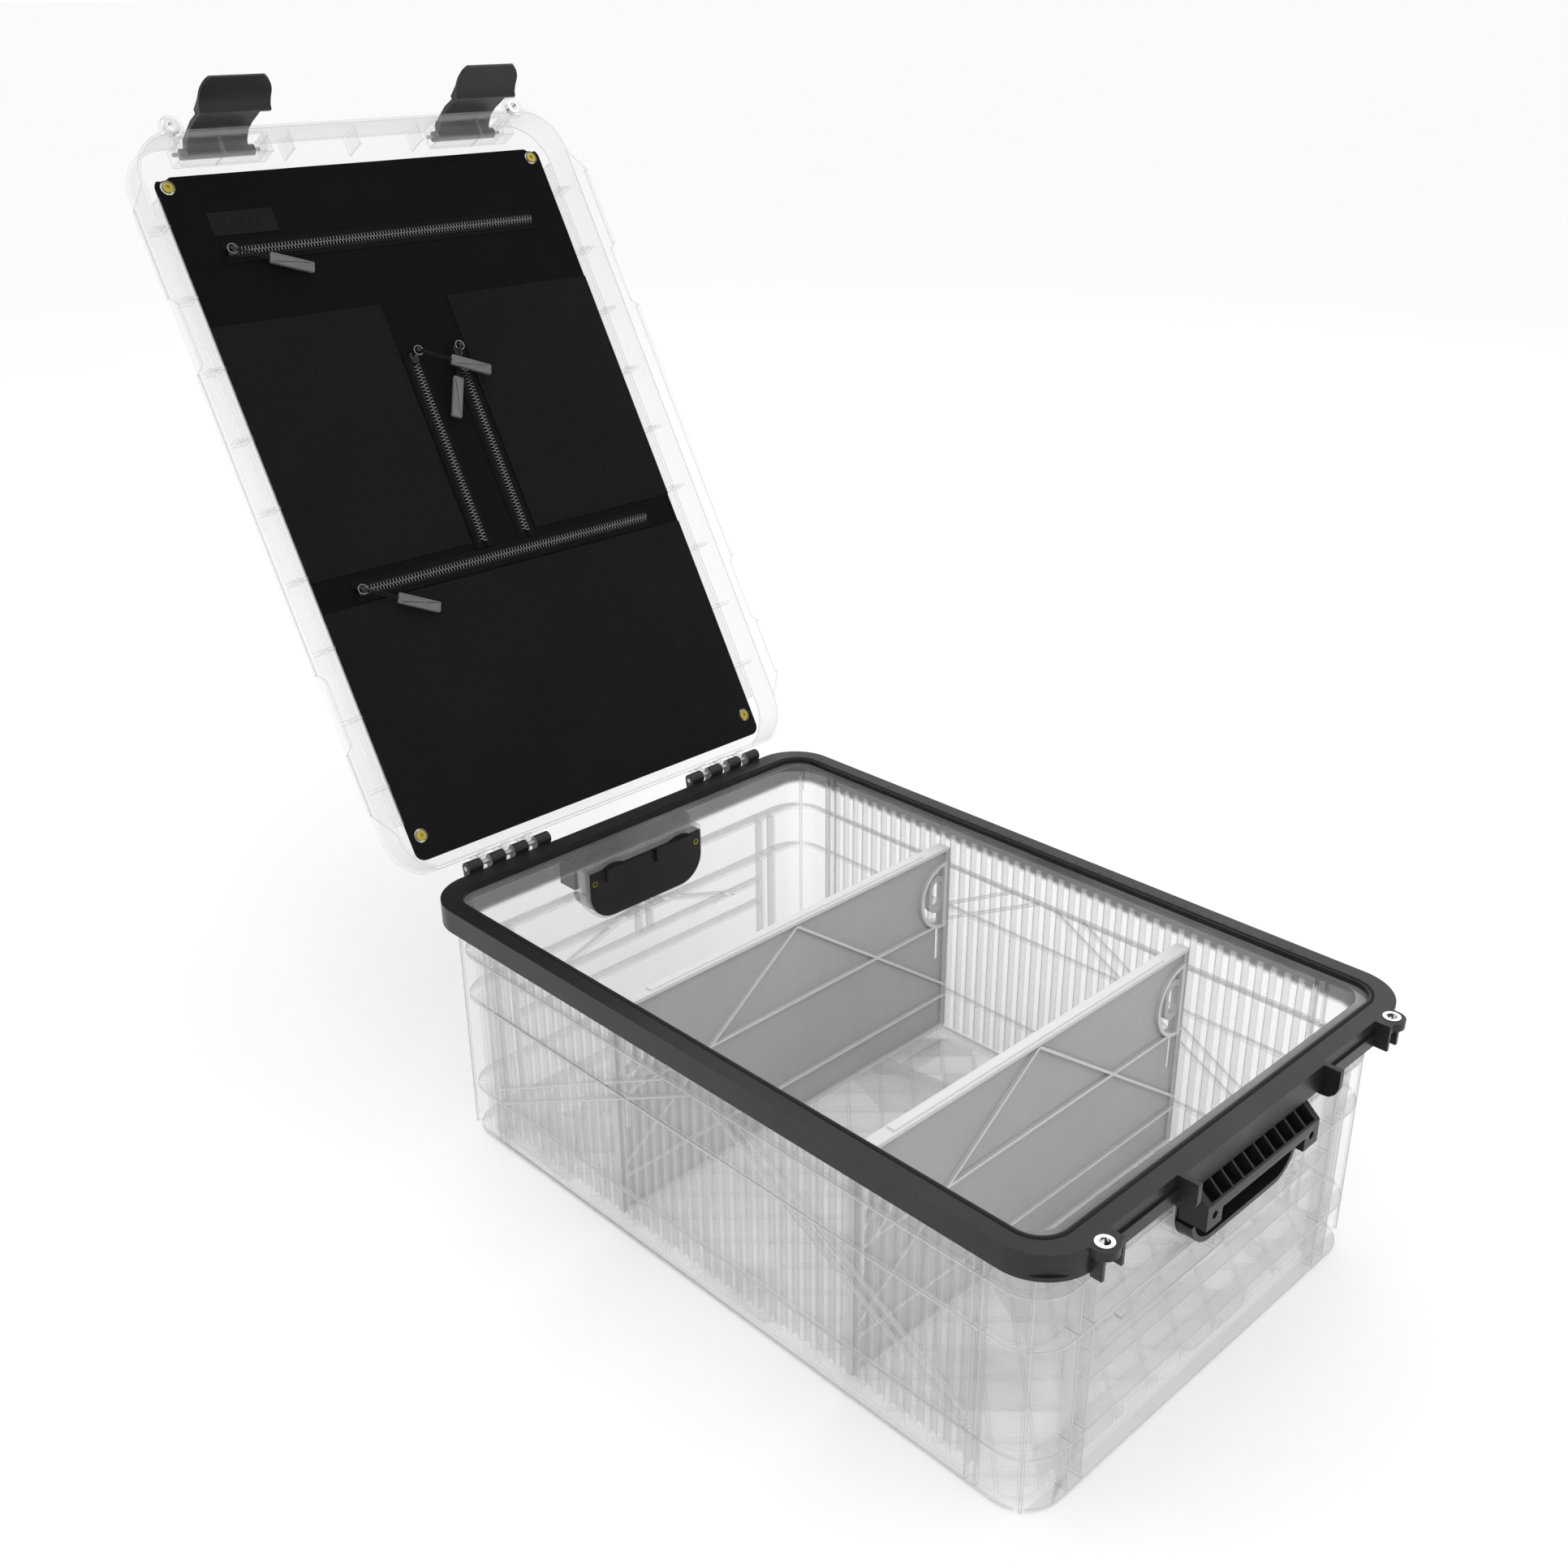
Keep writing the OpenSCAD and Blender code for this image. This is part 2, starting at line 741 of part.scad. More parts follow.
// Clear knuckles between the black ones, with their arms and gussets
module lid_knuckles() {
    for (i = [0 : 2]) {
        y = hinge_y0 + knuckle_w + 0.3 + i * knuckle_step;
        translate([0, y, 0]) {
            translate([hinge_x, 0, hinge_z]) rotate([-90, 0, 0]) cylinder(r = knuckle_r, h = lid_knuckle_w);
            translate([hinge_x, 0, hinge_z - 2]) cube([lid_rear + 1 - hinge_x, lid_knuckle_w, 6.9]);
        }
        for (d = [0.4, lid_knuckle_w - 2])
            translate([lid_rear + 1, y + d + 1.6, 0])
                rotate([90, 0, 0])
                    linear_extrude(1.6)
                        polygon([[0, rim_top + 7], [-7, rim_top + 7.5], [0, rim_top + 20]]);
    }
}

module lid_shell() {
    color(clear_plastic)
        on_lid()
            difference() {
                union() {
                    difference() {
                        union() {
                            lid_tray();
                            lid_ribs();
                        }
                        both_sides() latch_pocket();
                    }
                    lid_wings();
                    organiser_posts();
                    both_sides() {
                        latch_pocket_walls();
                        lid_eyelet_lug();
                        lid_knuckles();
                    }
                }
                both_sides() {
                    translate([eyelet_x, eyelet_y, lid_z0 - 1]) cylinder(r = eyelet_r - 0.8, h = 8);
                    translate([eyelet_x, eyelet_y, lid_z0 - 1]) cylinder(r = eyelet_r, h = 1.8);
                    translate([hinge_x, hinge_y0 - 1, hinge_z])
                        rotate([-90, 0, 0]) cylinder(r = pin_r + pin_gap, h = 82);
                    translate([latch_x, latch_y0 - 2.5, latch_z])
                        rotate([-90, 0, 0]) cylinder(r = latch_pin_r, h = latch_y1 - latch_y0 + 8);
                }
            }
}

module lid_eyelets() {
    color([0.85, 0.85, 0.86])
        on_lid()
            both_sides()
                translate([eyelet_x, eyelet_y, lid_z0 + 0.8]) mirror([0, 0, 1]) eyelet(4.6);
}

module latch_pin() {
    color([0.6, 0.6, 0.6])
        on_lid()
            translate([latch_x, latch_y0 - 2.3, latch_z])
                rotate([-90, 0, 0]) cylinder(r = latch_pin_r, h = latch_y1 - latch_y0 + 7.5);
}

module latch_pin_right() { latch_pin(); }

module latch_pin_left() { mirror([0, 1, 0]) latch_pin(); }

// Side profile of a latch as (x, height above the rim), closed
module latch_profile(y0, y1) {
    translate([0, y1, rim_top])
        rotate([90, 0, 0])
            linear_extrude(y1 - y0)
                polygon([
                    [294, 32.2], [298, 31.5], [304, 26], [308, 4], [307.2, -16], [310, -26], [315, -36], [319, -42.5],
                    [317, -43.4], [312.5, -36], [307.5, -27.5], [303.9, -23.5], [300.4, -22.2], [300.4, -19.6],
                    [303.6, -18.6], [303.9, 4], [302.6, 13], [298, 21], [293, 23.8]
                ]);
}

module latch() {
    color(black_plastic)
        on_lid()
            difference() {
                union() {
                    translate([latch_x, latch_y0 + 3.3, latch_z])
                        rotate([-90, 0, 0]) cylinder(r = latch_r, h = latch_y1 - latch_y0 - 4.5);
                    intersection() {
                        latch_profile(86.2, 146.3);
                        // The grip's corners are rounded in plan
                        union() {
                            translate([285, 91, rim_top - 24]) cube([40, 51, 60]);
                            translate([285, 86.2, rim_top - 24]) cube([40, 60.1, 9]);
                            translate([285, 0, 0]) rotate([90, 0, 90]) linear_extrude(40) grip_outline();
                        }
                    }
                }
                translate([latch_x, latch_y0 - 1, latch_z])
                    rotate([-90, 0, 0]) cylinder(r = latch_pin_r + pin_gap, h = latch_y1 - latch_y0 + 2);
            }
}

// Grip plate of a latch seen from the front
module grip_outline() {
    r = 13;
    y0 = 86.2;
    y1 = 146.3;
    z0 = rim_top - 44;
    translate([y0 + r, z0]) square([y1 - y0 - 2 * r, 30]);
    translate([y0, z0 + r]) square([y1 - y0, 12]);
    for (y = [y0 + r, y1 - r]) translate([y, z0 + r]) circle(r);
}

module latch_right() { latch(); }

module latch_left() { mirror([0, 1, 0]) latch(); }

// ---- Organiser, drawn closed: layers hang below the board ----

module panel_plate(inset, t) {
    translate([(panel_x0 + panel_x1) / 2, 0, 0])
        rounded_plate(panel_l - 2 * inset, panel_w - 2 * inset, panel_r - inset, t);
}

module post_holes(r) {
    for (x = [boss_rear, boss_front], y = [-boss_y, boss_y])
        translate([x, y, rim_top]) cylinder(r = r, h = lid_h - 1);
}

module organiser_board() {
    color([0.1, 0.1, 0.1])
        on_lid()
            difference() {
                translate([0, 0, board_z]) panel_plate(1.5, board_t);
                post_holes(post_hole_r);
            }
}

module organiser_cover() {
    color(black_fabric)
        on_lid()
            difference() {
                translate([0, 0, cover_z]) panel_plate(0, cover_t);
                post_holes(post_hole_r);
            }
}

// A sewn-on pocket: a flat closed solid over a rectangle of the cover
module pocket_solid(x0, x1, y0, y1) {
    color(black_fabric)
        on_lid()
            difference() {
                intersection() {
                    translate([x0, y0, pocket_face]) cube([x1 - x0, y1 - y0, cover_z - pocket_face]);
                    translate([0, 0, pocket_face]) panel_plate(0.5, 5);
                }
                post_holes(post_hole_r + 0.2);
            }
}

module pocket_left() { pocket_solid(-57, 151, -181, -32); }

module pocket_right() { pocket_solid(-57, 151, 33, 181); }

module pocket_bottom() { pocket_solid(panel_x0, -83, -181, 181); }

module label_patch() {
    color([0.12, 0.12, 0.12])
        on_lid()
            translate([222, -150, cover_z - 1]) cube([19, 56, 1]);
}

// Brass screws that hold the organiser to the lid's posts
module panel_screws() {
    color([0.75, 0.60, 0.25])
        on_lid()
            for (x = [boss_rear, boss_front], y = [-boss_y, boss_y])
                difference() {
                    union() {
                        translate([x, y, screw_z + 0.4]) cylinder(r = 4.2, h = 2.1);
                        translate([x, y, screw_z + 2.4]) cylinder(r = 1.6, h = 4);
                    }
                    translate([x, y, screw_z]) cylinder(r = 1.8, h = 1.6, $fn = 6);
                }
}

// A zip between two points of the panel: tape with a raised row of teeth
module zip(a, b) {
    color([0.18, 0.18, 0.19])
        on_lid() {
            translate([0, 0, cover_z - 0.8]) bar(a, b, zip_w, 0.8);
            translate([0, 0, zip_z]) bar(a, b, teeth_w, cover_z - 0.8 - zip_z + eps);
        }
}

module zip_top() { zip(top_a, top_b); }

module zip_bottom() { zip(bottom_a, bottom_b); }

module zip_left() { zip(left_a, left_b); }

module zip_right() { zip(right_a, right_b); }

// A slider that rides on the teeth, with a post that reaches past the pull
module slider(at, turn, level) {
    color([0.25, 0.25, 0.26])
        on_lid()
            translate([at[0], at[1], 0]) rotate([0, 0, turn]) {
                translate([-1, -4.5, slider_z]) cube([9, 9, zip_z - gap - slider_z]);
                translate([0, 0, level - 0.4]) cylinder(r = post_r, h = slider_z + 0.4 - level + eps);
            }
}

module slider_top() { slider(top_a, 90, pull_z); }

module slider_bottom() { slider(bottom_a, 90, pull_z); }

module slider_left() { slider(left_a, 180, pull_z_low); }

module slider_right() { slider(right_a, 180, pull_z); }

// A pull swings on the slider's post: a ring with a short cord, then a rubber tag
module pull_cord(at, turn, level) {
    color([0.06, 0.06, 0.06])
        on_lid()
            translate([at[0], at[1], level]) rotate([0, 0, turn])
                difference() {
                    union() {
                        cylinder(r = pull_ring_r, h = cord_t);
                        translate([2.5, -cord_t / 2, 0]) cube([cord_len, cord_t, cord_t]);
                    }
                    translate([0, 0, -1]) cylinder(r = post_r + pin_gap, h = 4);
                }
}

module pull_tag(at, turn, level) {
    color([0.45, 0.45, 0.46])
        on_lid()
            translate([at[0], at[1], level - 0.4]) rotate([0, 0, turn])
                difference() {
                    translate([cord_len, -tag_w / 2, 0]) cube([tag_l, tag_w, tag_t]);
                    translate([cord_len - 1, -cord_t / 2 - 0.1, 0.3]) cube([4.2, cord_t + 0.2, cord_t + 0.2]);
                }
}

module pull_cord_top() { pull_cord(top_a, turn_top, pull_z); }

module pull_cord_bottom() { pull_cord(bottom_a, turn_bottom, pull_z); }

module pull_cord_left() { pull_cord(left_a, turn_left, pull_z_low); }

module pull_cord_right() { pull_cord(right_a, turn_right, pull_z); }

module pull_tag_top() { pull_tag(top_a, turn_top, pull_z); }

module pull_tag_bottom() { pull_tag(bottom_a, turn_bottom, pull_z); }

module pull_tag_left() { pull_tag(left_a, turn_left, pull_z_low); }

module pull_tag_right() { pull_tag(right_a, turn_right, pull_z); }

tub();
rim_frame();
rim_seal();
rim_eyelets();
hinge_pin_left();
hinge_pin_right();
handle_cup_front();
handle_grip_front();
handle_screws_front();
handle_cup_rear();
handle_grip_rear();
handle_screws_rear();
divider_rear();
divider_front();
lid_shell();
lid_eyelets();
latch_pin_left();
latch_pin_right();
latch_left();
latch_right();
organiser_board();
organiser_cover();
pocket_left();
pocket_right();
pocket_bottom();
label_patch();
panel_screws();
zip_top();
zip_bottom();
zip_left();
zip_right();
slider_top();
slider_bottom();
slider_left();
slider_right();
pull_cord_top();
pull_cord_bottom();
pull_cord_left();
pull_cord_right();
pull_tag_top();
pull_tag_bottom();
pull_tag_left();
pull_tag_right();
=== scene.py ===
"""Looks of the attached lid tote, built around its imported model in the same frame."""

import logging
import math
from dataclasses import dataclass, field
from enum import Enum
from typing import Callable, Iterable, Sequence

import bmesh
import bpy
from mathutils import Matrix, Vector, noise


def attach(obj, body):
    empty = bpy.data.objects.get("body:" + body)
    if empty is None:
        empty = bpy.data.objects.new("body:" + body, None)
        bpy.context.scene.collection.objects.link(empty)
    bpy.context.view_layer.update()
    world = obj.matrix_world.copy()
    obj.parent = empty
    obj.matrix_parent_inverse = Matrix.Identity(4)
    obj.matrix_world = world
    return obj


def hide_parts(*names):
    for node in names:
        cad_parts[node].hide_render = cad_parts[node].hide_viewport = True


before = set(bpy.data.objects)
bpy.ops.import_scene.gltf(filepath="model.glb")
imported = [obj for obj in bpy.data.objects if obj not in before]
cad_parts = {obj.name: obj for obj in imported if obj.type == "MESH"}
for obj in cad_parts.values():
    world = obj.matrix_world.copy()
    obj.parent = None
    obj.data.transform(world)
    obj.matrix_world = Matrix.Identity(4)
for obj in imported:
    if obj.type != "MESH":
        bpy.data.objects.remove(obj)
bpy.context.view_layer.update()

LOG = logging.getLogger("tote")
MM = 0.001
HOLE_RADIUS = 6.0
SNAP_REACH = 2.6
THREAD = (0.62, 0.5)
NEAR_EDGE = 0.9
ROLLED_EDGE = ((0.14, 0.3), (0.1, 0.7))

RIM_TOP = 207.0
HINGE = Vector((-304.5, 0.0, RIM_TOP + 3.0)) * MM
LID_OPEN = math.radians(120.0)
COVER_Z = RIM_TOP + 20.0
PITCH = 11.05
WALL_X = 276.0
WALL_Y = 183.0
WALL = 2.5
DIVIDER_X = (-9 * PITCH, 12 * PITCH)
SCREWS = ((-267.7, -171.8), (-267.7, 171.8), (264.0, -171.8), (264.0, 171.8))
SLOT_COUNT = 41

Rgb = tuple[float, float, float]
Point = tuple[float, float]


def lid_matrix() -> Matrix:
    """Returns the transform from the closed lid's place to its open place."""
    swing = Matrix.Rotation(-LID_OPEN, 4, "Y")
    return Matrix.Translation(HINGE) @ swing @ Matrix.Translation(-HINGE)


def panel_matrix() -> Matrix:
    """Returns the transform from the organiser's own plane, whose face looks along +Z, to its place."""
    face = Matrix.Translation(Vector((0.0, 0.0, COVER_Z * MM)))
    return lid_matrix() @ face @ Matrix.Rotation(math.pi, 4, "X")


def on_panel(x: float, y: float) -> Point:
    """Returns a closed-lid position, in millimetres, as the organiser's own plane has it."""
    return (x, -y)


# ---------------------------------------------------------------- shading


class Wire:
    """A node's output socket that can be used in plain arithmetic."""

    def __init__(self, desk: "NodeDesk", socket: bpy.types.NodeSocket) -> None:
        """Keeps the socket and the desk that adds nodes.

        Args:
            desk: The desk whose tree the socket is in.
            socket: The output socket.
        """
        self.desk = desk
        self.socket = socket

    def _math(self, operation: str, first: object, second: object = None) -> "Wire":
        """Adds a Math node.

        Args:
            operation: The node's operation.
            first: Its first input.
            second: Its second input, if it has one.

        Returns:
            The result's wire.
        """
        inputs = {0: first} if second is None else {0: first, 1: second}
        return self.desk.add("ShaderNodeMath", {"operation": operation}, inputs)

    def __add__(self, other: object) -> "Wire":
        """Returns the sum."""
        return self._math("ADD", self, other)

    __radd__ = __add__

    def __sub__(self, other: object) -> "Wire":
        """Returns the difference."""
        return self._math("SUBTRACT", self, other)

    def __rsub__(self, other: object) -> "Wire":
        """Returns the difference with the sides swapped."""
        return self._math("SUBTRACT", other, self)

    def __mul__(self, other: object) -> "Wire":
        """Returns the product."""
        return self._math("MULTIPLY", self, other)

    __rmul__ = __mul__

    def __truediv__(self, other: object) -> "Wire":
        """Returns the quotient."""
        return self._math("DIVIDE", self, other)

    def __pow__(self, other: object) -> "Wire":
        """Returns the power."""
        return self._math("POWER", self, other)

    def sine(self) -> "Wire":
        """Returns the sine."""
        return self._math("SINE", self)

    def absolute(self) -> "Wire":
        """Returns the absolute value."""
        return self._math("ABSOLUTE", self)

    def above(self, level: object) -> "Wire":
        """Returns 1 where the value is above the level, otherwise 0."""
        return self._math("GREATER_THAN", self, level)

    def below(self, level: object) -> "Wire":
        """Returns 1 where the value is below the level, otherwise 0."""
        return self._math("LESS_THAN", self, level)

    def clipped(self) -> "Wire":
        """Returns the value held between 0 and 1."""
        return self.desk.add("ShaderNodeClamp", {}, {"Value": self})


class NodeDesk:
    """Builds one material's node tree."""

    def __init__(self, name: str) -> None:
        """Starts an empty material.

        Args:
            name: The material's name.
        """
        self.material = bpy.data.materials.new(name)
        self.material.use_nodes = True
        self.tree = self.material.node_tree
        self.tree.nodes.clear()

    def add(self, kind: str, settings: dict, inputs: dict, out: object = 0) -> Wire:
        """Adds a node.

        Args:
            kind: The node's type.
            settings: Its properties, set first. The key "stops" holds a ramp's (place, colour) pairs.
            inputs: Values or wires of its sockets, by name or number.
            out: The output to return, by name or number.

        Returns:
            The output's wire.
        """
        node = self.tree.nodes.new(kind)
        for key, value in settings.items():
            if key == "stops":
                self._set_stops(node.color_ramp, value)
            else:
                setattr(node, key, value)
        for key, value in inputs.items():
            if isinstance(value, Wire):
                self.tree.links.new(value.socket, node.inputs[key])
            else:
                node.inputs[key].default_value = value
        return Wire(self, node.outputs[out])

    @staticmethod
    def _set_stops(ramp: bpy.types.ColorRamp, stops: Sequence[tuple[float, Rgb]]) -> None:
        """Gives a ramp its stops.

        Args:
            ramp: The ramp, with its two first stops.
            stops: The places and colours.
        """
        while len(ramp.elements) < len(stops):
            ramp.elements.new(0.5)
        for element, (place, colour) in zip(ramp.elements, stops):
            element.position = place
            element.color = (*colour, 1.0)

    def place(self) -> Wire:
        """Returns the Object coordinates."""
        return self.add("ShaderNodeTexCoord", {}, {}, "Object")

    def own_map(self) -> Wire:
        """Returns the piece's own map, in millimetres along and across."""
        return self.add("ShaderNodeUVMap", {"uv_map": "cut"}, {})

    def split(self, vector: Wire) -> tuple[Wire, Wire, Wire]:
        """Returns a vector's three parts."""
        first = self.add("ShaderNodeSeparateXYZ", {}, {0: vector})
        sockets = first.socket.node.outputs
        return first, Wire(self, sockets[1]), Wire(self, sockets[2])

    def cloud(self, where: Wire, scale: float, detail: float = 3.0, rough: float = 0.55) -> Wire:
        """Returns a noise texture's value.

        Args:
            where: The coordinates.
            scale: The texture's scale.
            detail: The number of finer layers.
            rough: The strength of the finer layers.
        """
        inputs = {"Vector": where, "Scale": scale, "Detail": detail, "Roughness": rough}
        return self.add("ShaderNodeTexNoise", {}, inputs)

    def blend(self, share: object, low: "Rgb | Wire", high: Rgb) -> Wire:
        """Returns a colour between two colours.

        Args:
            share: The share of the second colour.
            low: The first colour.
            high: The second colour.
        """
        first = low if isinstance(low, Wire) else (*low, 1.0)
        inputs = {0: share, 6: first, 7: (*high, 1.0)}
        return self.add("ShaderNodeMix", {"data_type": "RGBA"}, inputs, 2)

    def relief(self, height: Wire, strength: float, distance_mm: float) -> Wire:
        """Returns a bumped normal.

        Args:
            height: The height, from 0 to 1.
            strength: The bump's strength.
            distance_mm: The height of 1, in millimetres.
        """
        inputs = {"Height": height, "Strength": strength, "Distance": distance_mm * MM}
        return self.add("ShaderNodeBump", {}, inputs)

    def finish(self, inputs: dict) -> bpy.types.Material:
        """Adds the shader and the output.

        Args:
            inputs: The shader's sockets.

        Returns:
            The finished material.
        """
        shader = self.add("ShaderNodeBsdfPrincipled", {}, inputs)
        self.add_output(shader)
        return self.material

    def add_output(self, shader: Wire) -> None:
        """Links a shader to the material's output."""
        output = self.tree.nodes.new("ShaderNodeOutputMaterial")
        self.tree.links.new(shader.socket, output.inputs["Surface"])


def grey(value: float) -> Rgb:
    """Returns a neutral colour."""
    return (value, value, value)


@dataclass(frozen=True)
class ClearPlastic:
    """Clear moulded plastic: nearly open seen square on, denser at a slant."""

    name: str
    tone: float
    face_alpha: float
    edge_alpha: float
    edge_power: float
    roughness: float
    haze: float = 0.03

    def density(self, desk: NodeDesk, where: Wire) -> tuple[object, object]:
        """Finds how much denser and darker the plastic is at a place.

        Args:
            desk: The material's desk.
            where: The Object coordinates.

        Returns:
            The extra density, and the share by which the colour is darker.
        """
        return 0.0, 0.0

    def build(self) -> bpy.types.Material:
        """Returns the material."""
        desk = NodeDesk(self.name)
        where = desk.place()
        slant = desk.add("ShaderNodeLayerWeight", {}, {"Blend": 0.5}, "Facing")
        flow = desk.cloud(where, 14.0, 2.0)
        fine = desk.cloud(where, 260.0, 2.0)
        extra, dark = self.density(desk, where)
        open_share = self.face_alpha + (self.edge_alpha - self.face_alpha) * slant**self.edge_power
        alpha = (open_share + self.haze * (flow - 0.5) + extra).clipped()
        share = (0.95 + 0.3 * (flow - 0.5) - dark).clipped()
        return desk.finish(
            {
                "Base Color": desk.blend(share, grey(self.tone * 0.12), grey(self.tone)),
                "Alpha": alpha,
                "Roughness": self.roughness + 0.05 * (fine - 0.5),
                "Normal": desk.relief(fine, 0.1, 0.04),
                "IOR": 1.58,
            }
        )


@dataclass(frozen=True)
class ClearTub(ClearPlastic):
    """The tub's clear plastic: rails, rings and ribs read denser than the thin walls, and a band under the rim is
    painted darker as painted shade.
    """

    rail_density: float = 0.24
    ring_density: float = 0.18
    band_density: float = 0.6
    low_density: float = -0.05
    rail_reach: float = 245.0
    rail_foot: float = 11.0
    floor_level: float = 9.0
    band_drop: float = 21.0
    band_fade: float = 4.0

    def density(self, desk: NodeDesk, where: Wire) -> tuple[object, object]:
        """Finds how much denser and darker the plastic is at a place.

        Args:
            desk: The material's desk.
            where: The Object coordinates.

        Returns:
            The extra density, and the share by which the colour is darker.
        """
        along, across, level = desk.split(where)
        deep, wide = along.absolute(), across.absolute()
        on_side = wide.below((WALL_Y - WALL - 0.4) * MM) * deep.below(self.rail_reach * MM)
        inside = on_side * level.above(self.rail_foot * MM)
        outside = (wide.above((WALL_Y + 0.3) * MM) + deep.above((WALL_X + 0.3) * MM)).clipped()
        low = level.below(self.floor_level * MM)
        # Painted shade: the walls' top band, just under the rim, is made denser and darker, standing in for the rim's
        # shadow.
        rim_shade_foot = (RIM_TOP - self.band_drop) * MM
        rim_shade_band = ((level - rim_shade_foot) * (1.0 / (self.band_fade * MM))).clipped() * (1.0 - inside)
        walls = self.rail_density * inside + self.ring_density * outside
        extra = walls + self.low_density * low + self.band_density * rim_shade_band
        return extra, 0.3 * inside + 0.08 * outside + 0.8 * rim_shade_band


@dataclass(frozen=True)
class MouldedPlastic:
    """Opaque moulded plastic with a spark-eroded grain, rubbed smoother in patches."""

    name: str
    dark: Rgb
    light: Rgb
    roughness: float
    grain: float
    sheen_level: float

    def build(self) -> bpy.types.Material:
        """Returns the material."""
        desk = NodeDesk(self.name)
        where = desk.place()
        grain = desk.cloud(where, 2400.0, 2.0, 0.6)
        pores = desk.cloud(where, 900.0, 3.0)
        patch = desk.cloud(where, 18.0, 4.0)
        rubbed = ((patch - 0.52) * 6.0).clipped()
        return desk.finish(
            {
                "Base Color": desk.blend((patch + 0.5 * grain - 0.25).clipped(), self.dark, self.light),
                "Roughness": self.roughness - 0.08 * rubbed + 0.1 * (grain - 0.5),
                "Normal": desk.relief(0.6 * grain + 0.4 * pores, self.grain, 0.12),
                "Specular IOR Level": self.sheen_level,
            }
        )


@dataclass(frozen=True)
class DividerPlastic:
    """Grey, slightly see-through plastic with a fine speckle, painted paler on its ribs and top flange as painted
    light on the lit faces.
    """

    name: str
    dark: float
    light: float
    rib: float
    flange: float
    alpha: float
    plate_half: float = 1.6
    rib_half: float = 3.9
    flange_depth: float = 22.0

    def build(self) -> bpy.types.Material:
        """Returns the material."""
        desk = NodeDesk(self.name)
        where = desk.place()
        along, _, level = desk.split(where)
        rear, front = DIVIDER_X
        middle, apart = (front + rear) / 2 * MM, (front - rear) / 2 * MM
        off_plate = ((along - middle).absolute() - apart).absolute()
        ribs = off_plate.above(self.plate_half * MM)
        faces = off_plate.above(self.rib_half * MM)
        top = level.above((RIM_TOP - self.flange_depth) * MM)
        speckle = desk.cloud(where, 1500.0, 2.0, 0.7)
        patch = desk.cloud(where, 9.0, 3.0)
        slant = desk.add("ShaderNodeLayerWeight", {}, {"Blend": 0.4}, "Facing")
        tone = (0.45 * patch + 0.9 * (speckle - 0.5) + 0.3).clipped()
        plate = desk.blend(tone, grey(self.dark), grey(self.light))
        # Painted light: the ribs' faces and the top flange are painted paler than the plate between them, as lit
        # faces against the shaded plate.
        pale = desk.blend(0.3 * ribs + 0.7 * faces, plate, grey(self.rib))
        colour = desk.blend(top, pale, grey(self.flange))
        return desk.finish(
            {
                "Base Color": colour,
                "Alpha": (self.alpha + 0.1 * slant + 0.08 * (speckle - 0.5)).clipped(),
                "Roughness": 0.42 + 0.12 * (speckle - 0.5),
                "Normal": desk.relief(speckle, 0.2, 0.06),
                "Specular IOR Level": 0.35,
            }
        )


class Cloth(Enum):
    """The weaves of the organiser."""

    RIBBED = "ribbed"
    PLAIN = "plain"
    TAPE = "tape"


@dataclass(frozen=True)
class Fabric:
    """Woven fabric whose threads follow the piece's own map, in millimetres."""

    name: str
    weave: Cloth
    dark: Rgb
    light: Rgb
    pitch: float
    depth: float

    def _height(self, desk: NodeDesk, along: Wire, across: Wire) -> Wire:
        """Returns the height of the threads.

        Args:
            desk: The material's desk.
            along: The distance along the piece.
            across: The distance across the piece.
        """
        turn = math.pi / self.pitch
        if self.weave is Cloth.RIBBED:
            slanted = (across + 0.45 * along) * turn
            steps = (along - 0.3 * across) * (turn * 0.62)
            return slanted.sine().absolute() * (0.35 + 0.65 * steps.sine().absolute())
        if self.weave is Cloth.TAPE:
            return (along * turn).sine().absolute() * (0.6 + 0.4 * (across * turn).sine().absolute())
        return 0.5 * (along * turn).sine().absolute() + 0.5 * (across * turn).sine().absolute()

    def build(self) -> bpy.types.Material:
        """Returns the material."""
        desk = NodeDesk(self.name)
        along, across, _ = desk.split(desk.own_map())
        threads = self._height(desk, along, across)
        where = desk.place()
        fuzz = desk.cloud(where, 1800.0, 2.0)
        worn = desk.cloud(where, 11.0, 4.0)
        tone = (0.5 * threads + 0.35 * fuzz + 0.5 * (worn - 0.5)).clipped()
        return desk.finish(
            {
                "Base Color": desk.blend(tone, self.dark, self.light),
                "Roughness": 0.82 + 0.12 * fuzz,
                "Normal": desk.relief(0.8 * threads + 0.2 * fuzz, 0.7, self.depth),
                "Specular IOR Level": 0.07,
                "Sheen Weight": 0.03,
                "Sheen Roughness": 0.4,
            }
        )


@dataclass(frozen=True)
class Metal:
    """Metal with fine drawn lines and duller patches."""

    name: str
    dark: Rgb
    light: Rgb
    roughness: float

    def build(self) -> bpy.types.Material:
        """Returns the material."""
        desk = NodeDesk(self.name)
        where = desk.place()
        lines = desk.cloud(
            desk.add("ShaderNodeMapping", {}, {"Vector": where, "Scale": (900.0, 900.0, 90.0)}), 1.0, 2.0
        )
        dull = desk.cloud(where, 120.0, 3.0)
        return desk.finish(
            {
                "Base Color": desk.blend((0.6 * dull + 0.4 * lines).clipped(), self.dark, self.light),
                "Metallic": 1.0,
                "Roughness": self.roughness + 0.18 * (dull - 0.4),
                "Normal": desk.relief(lines, 0.12, 0.03),
            }
        )


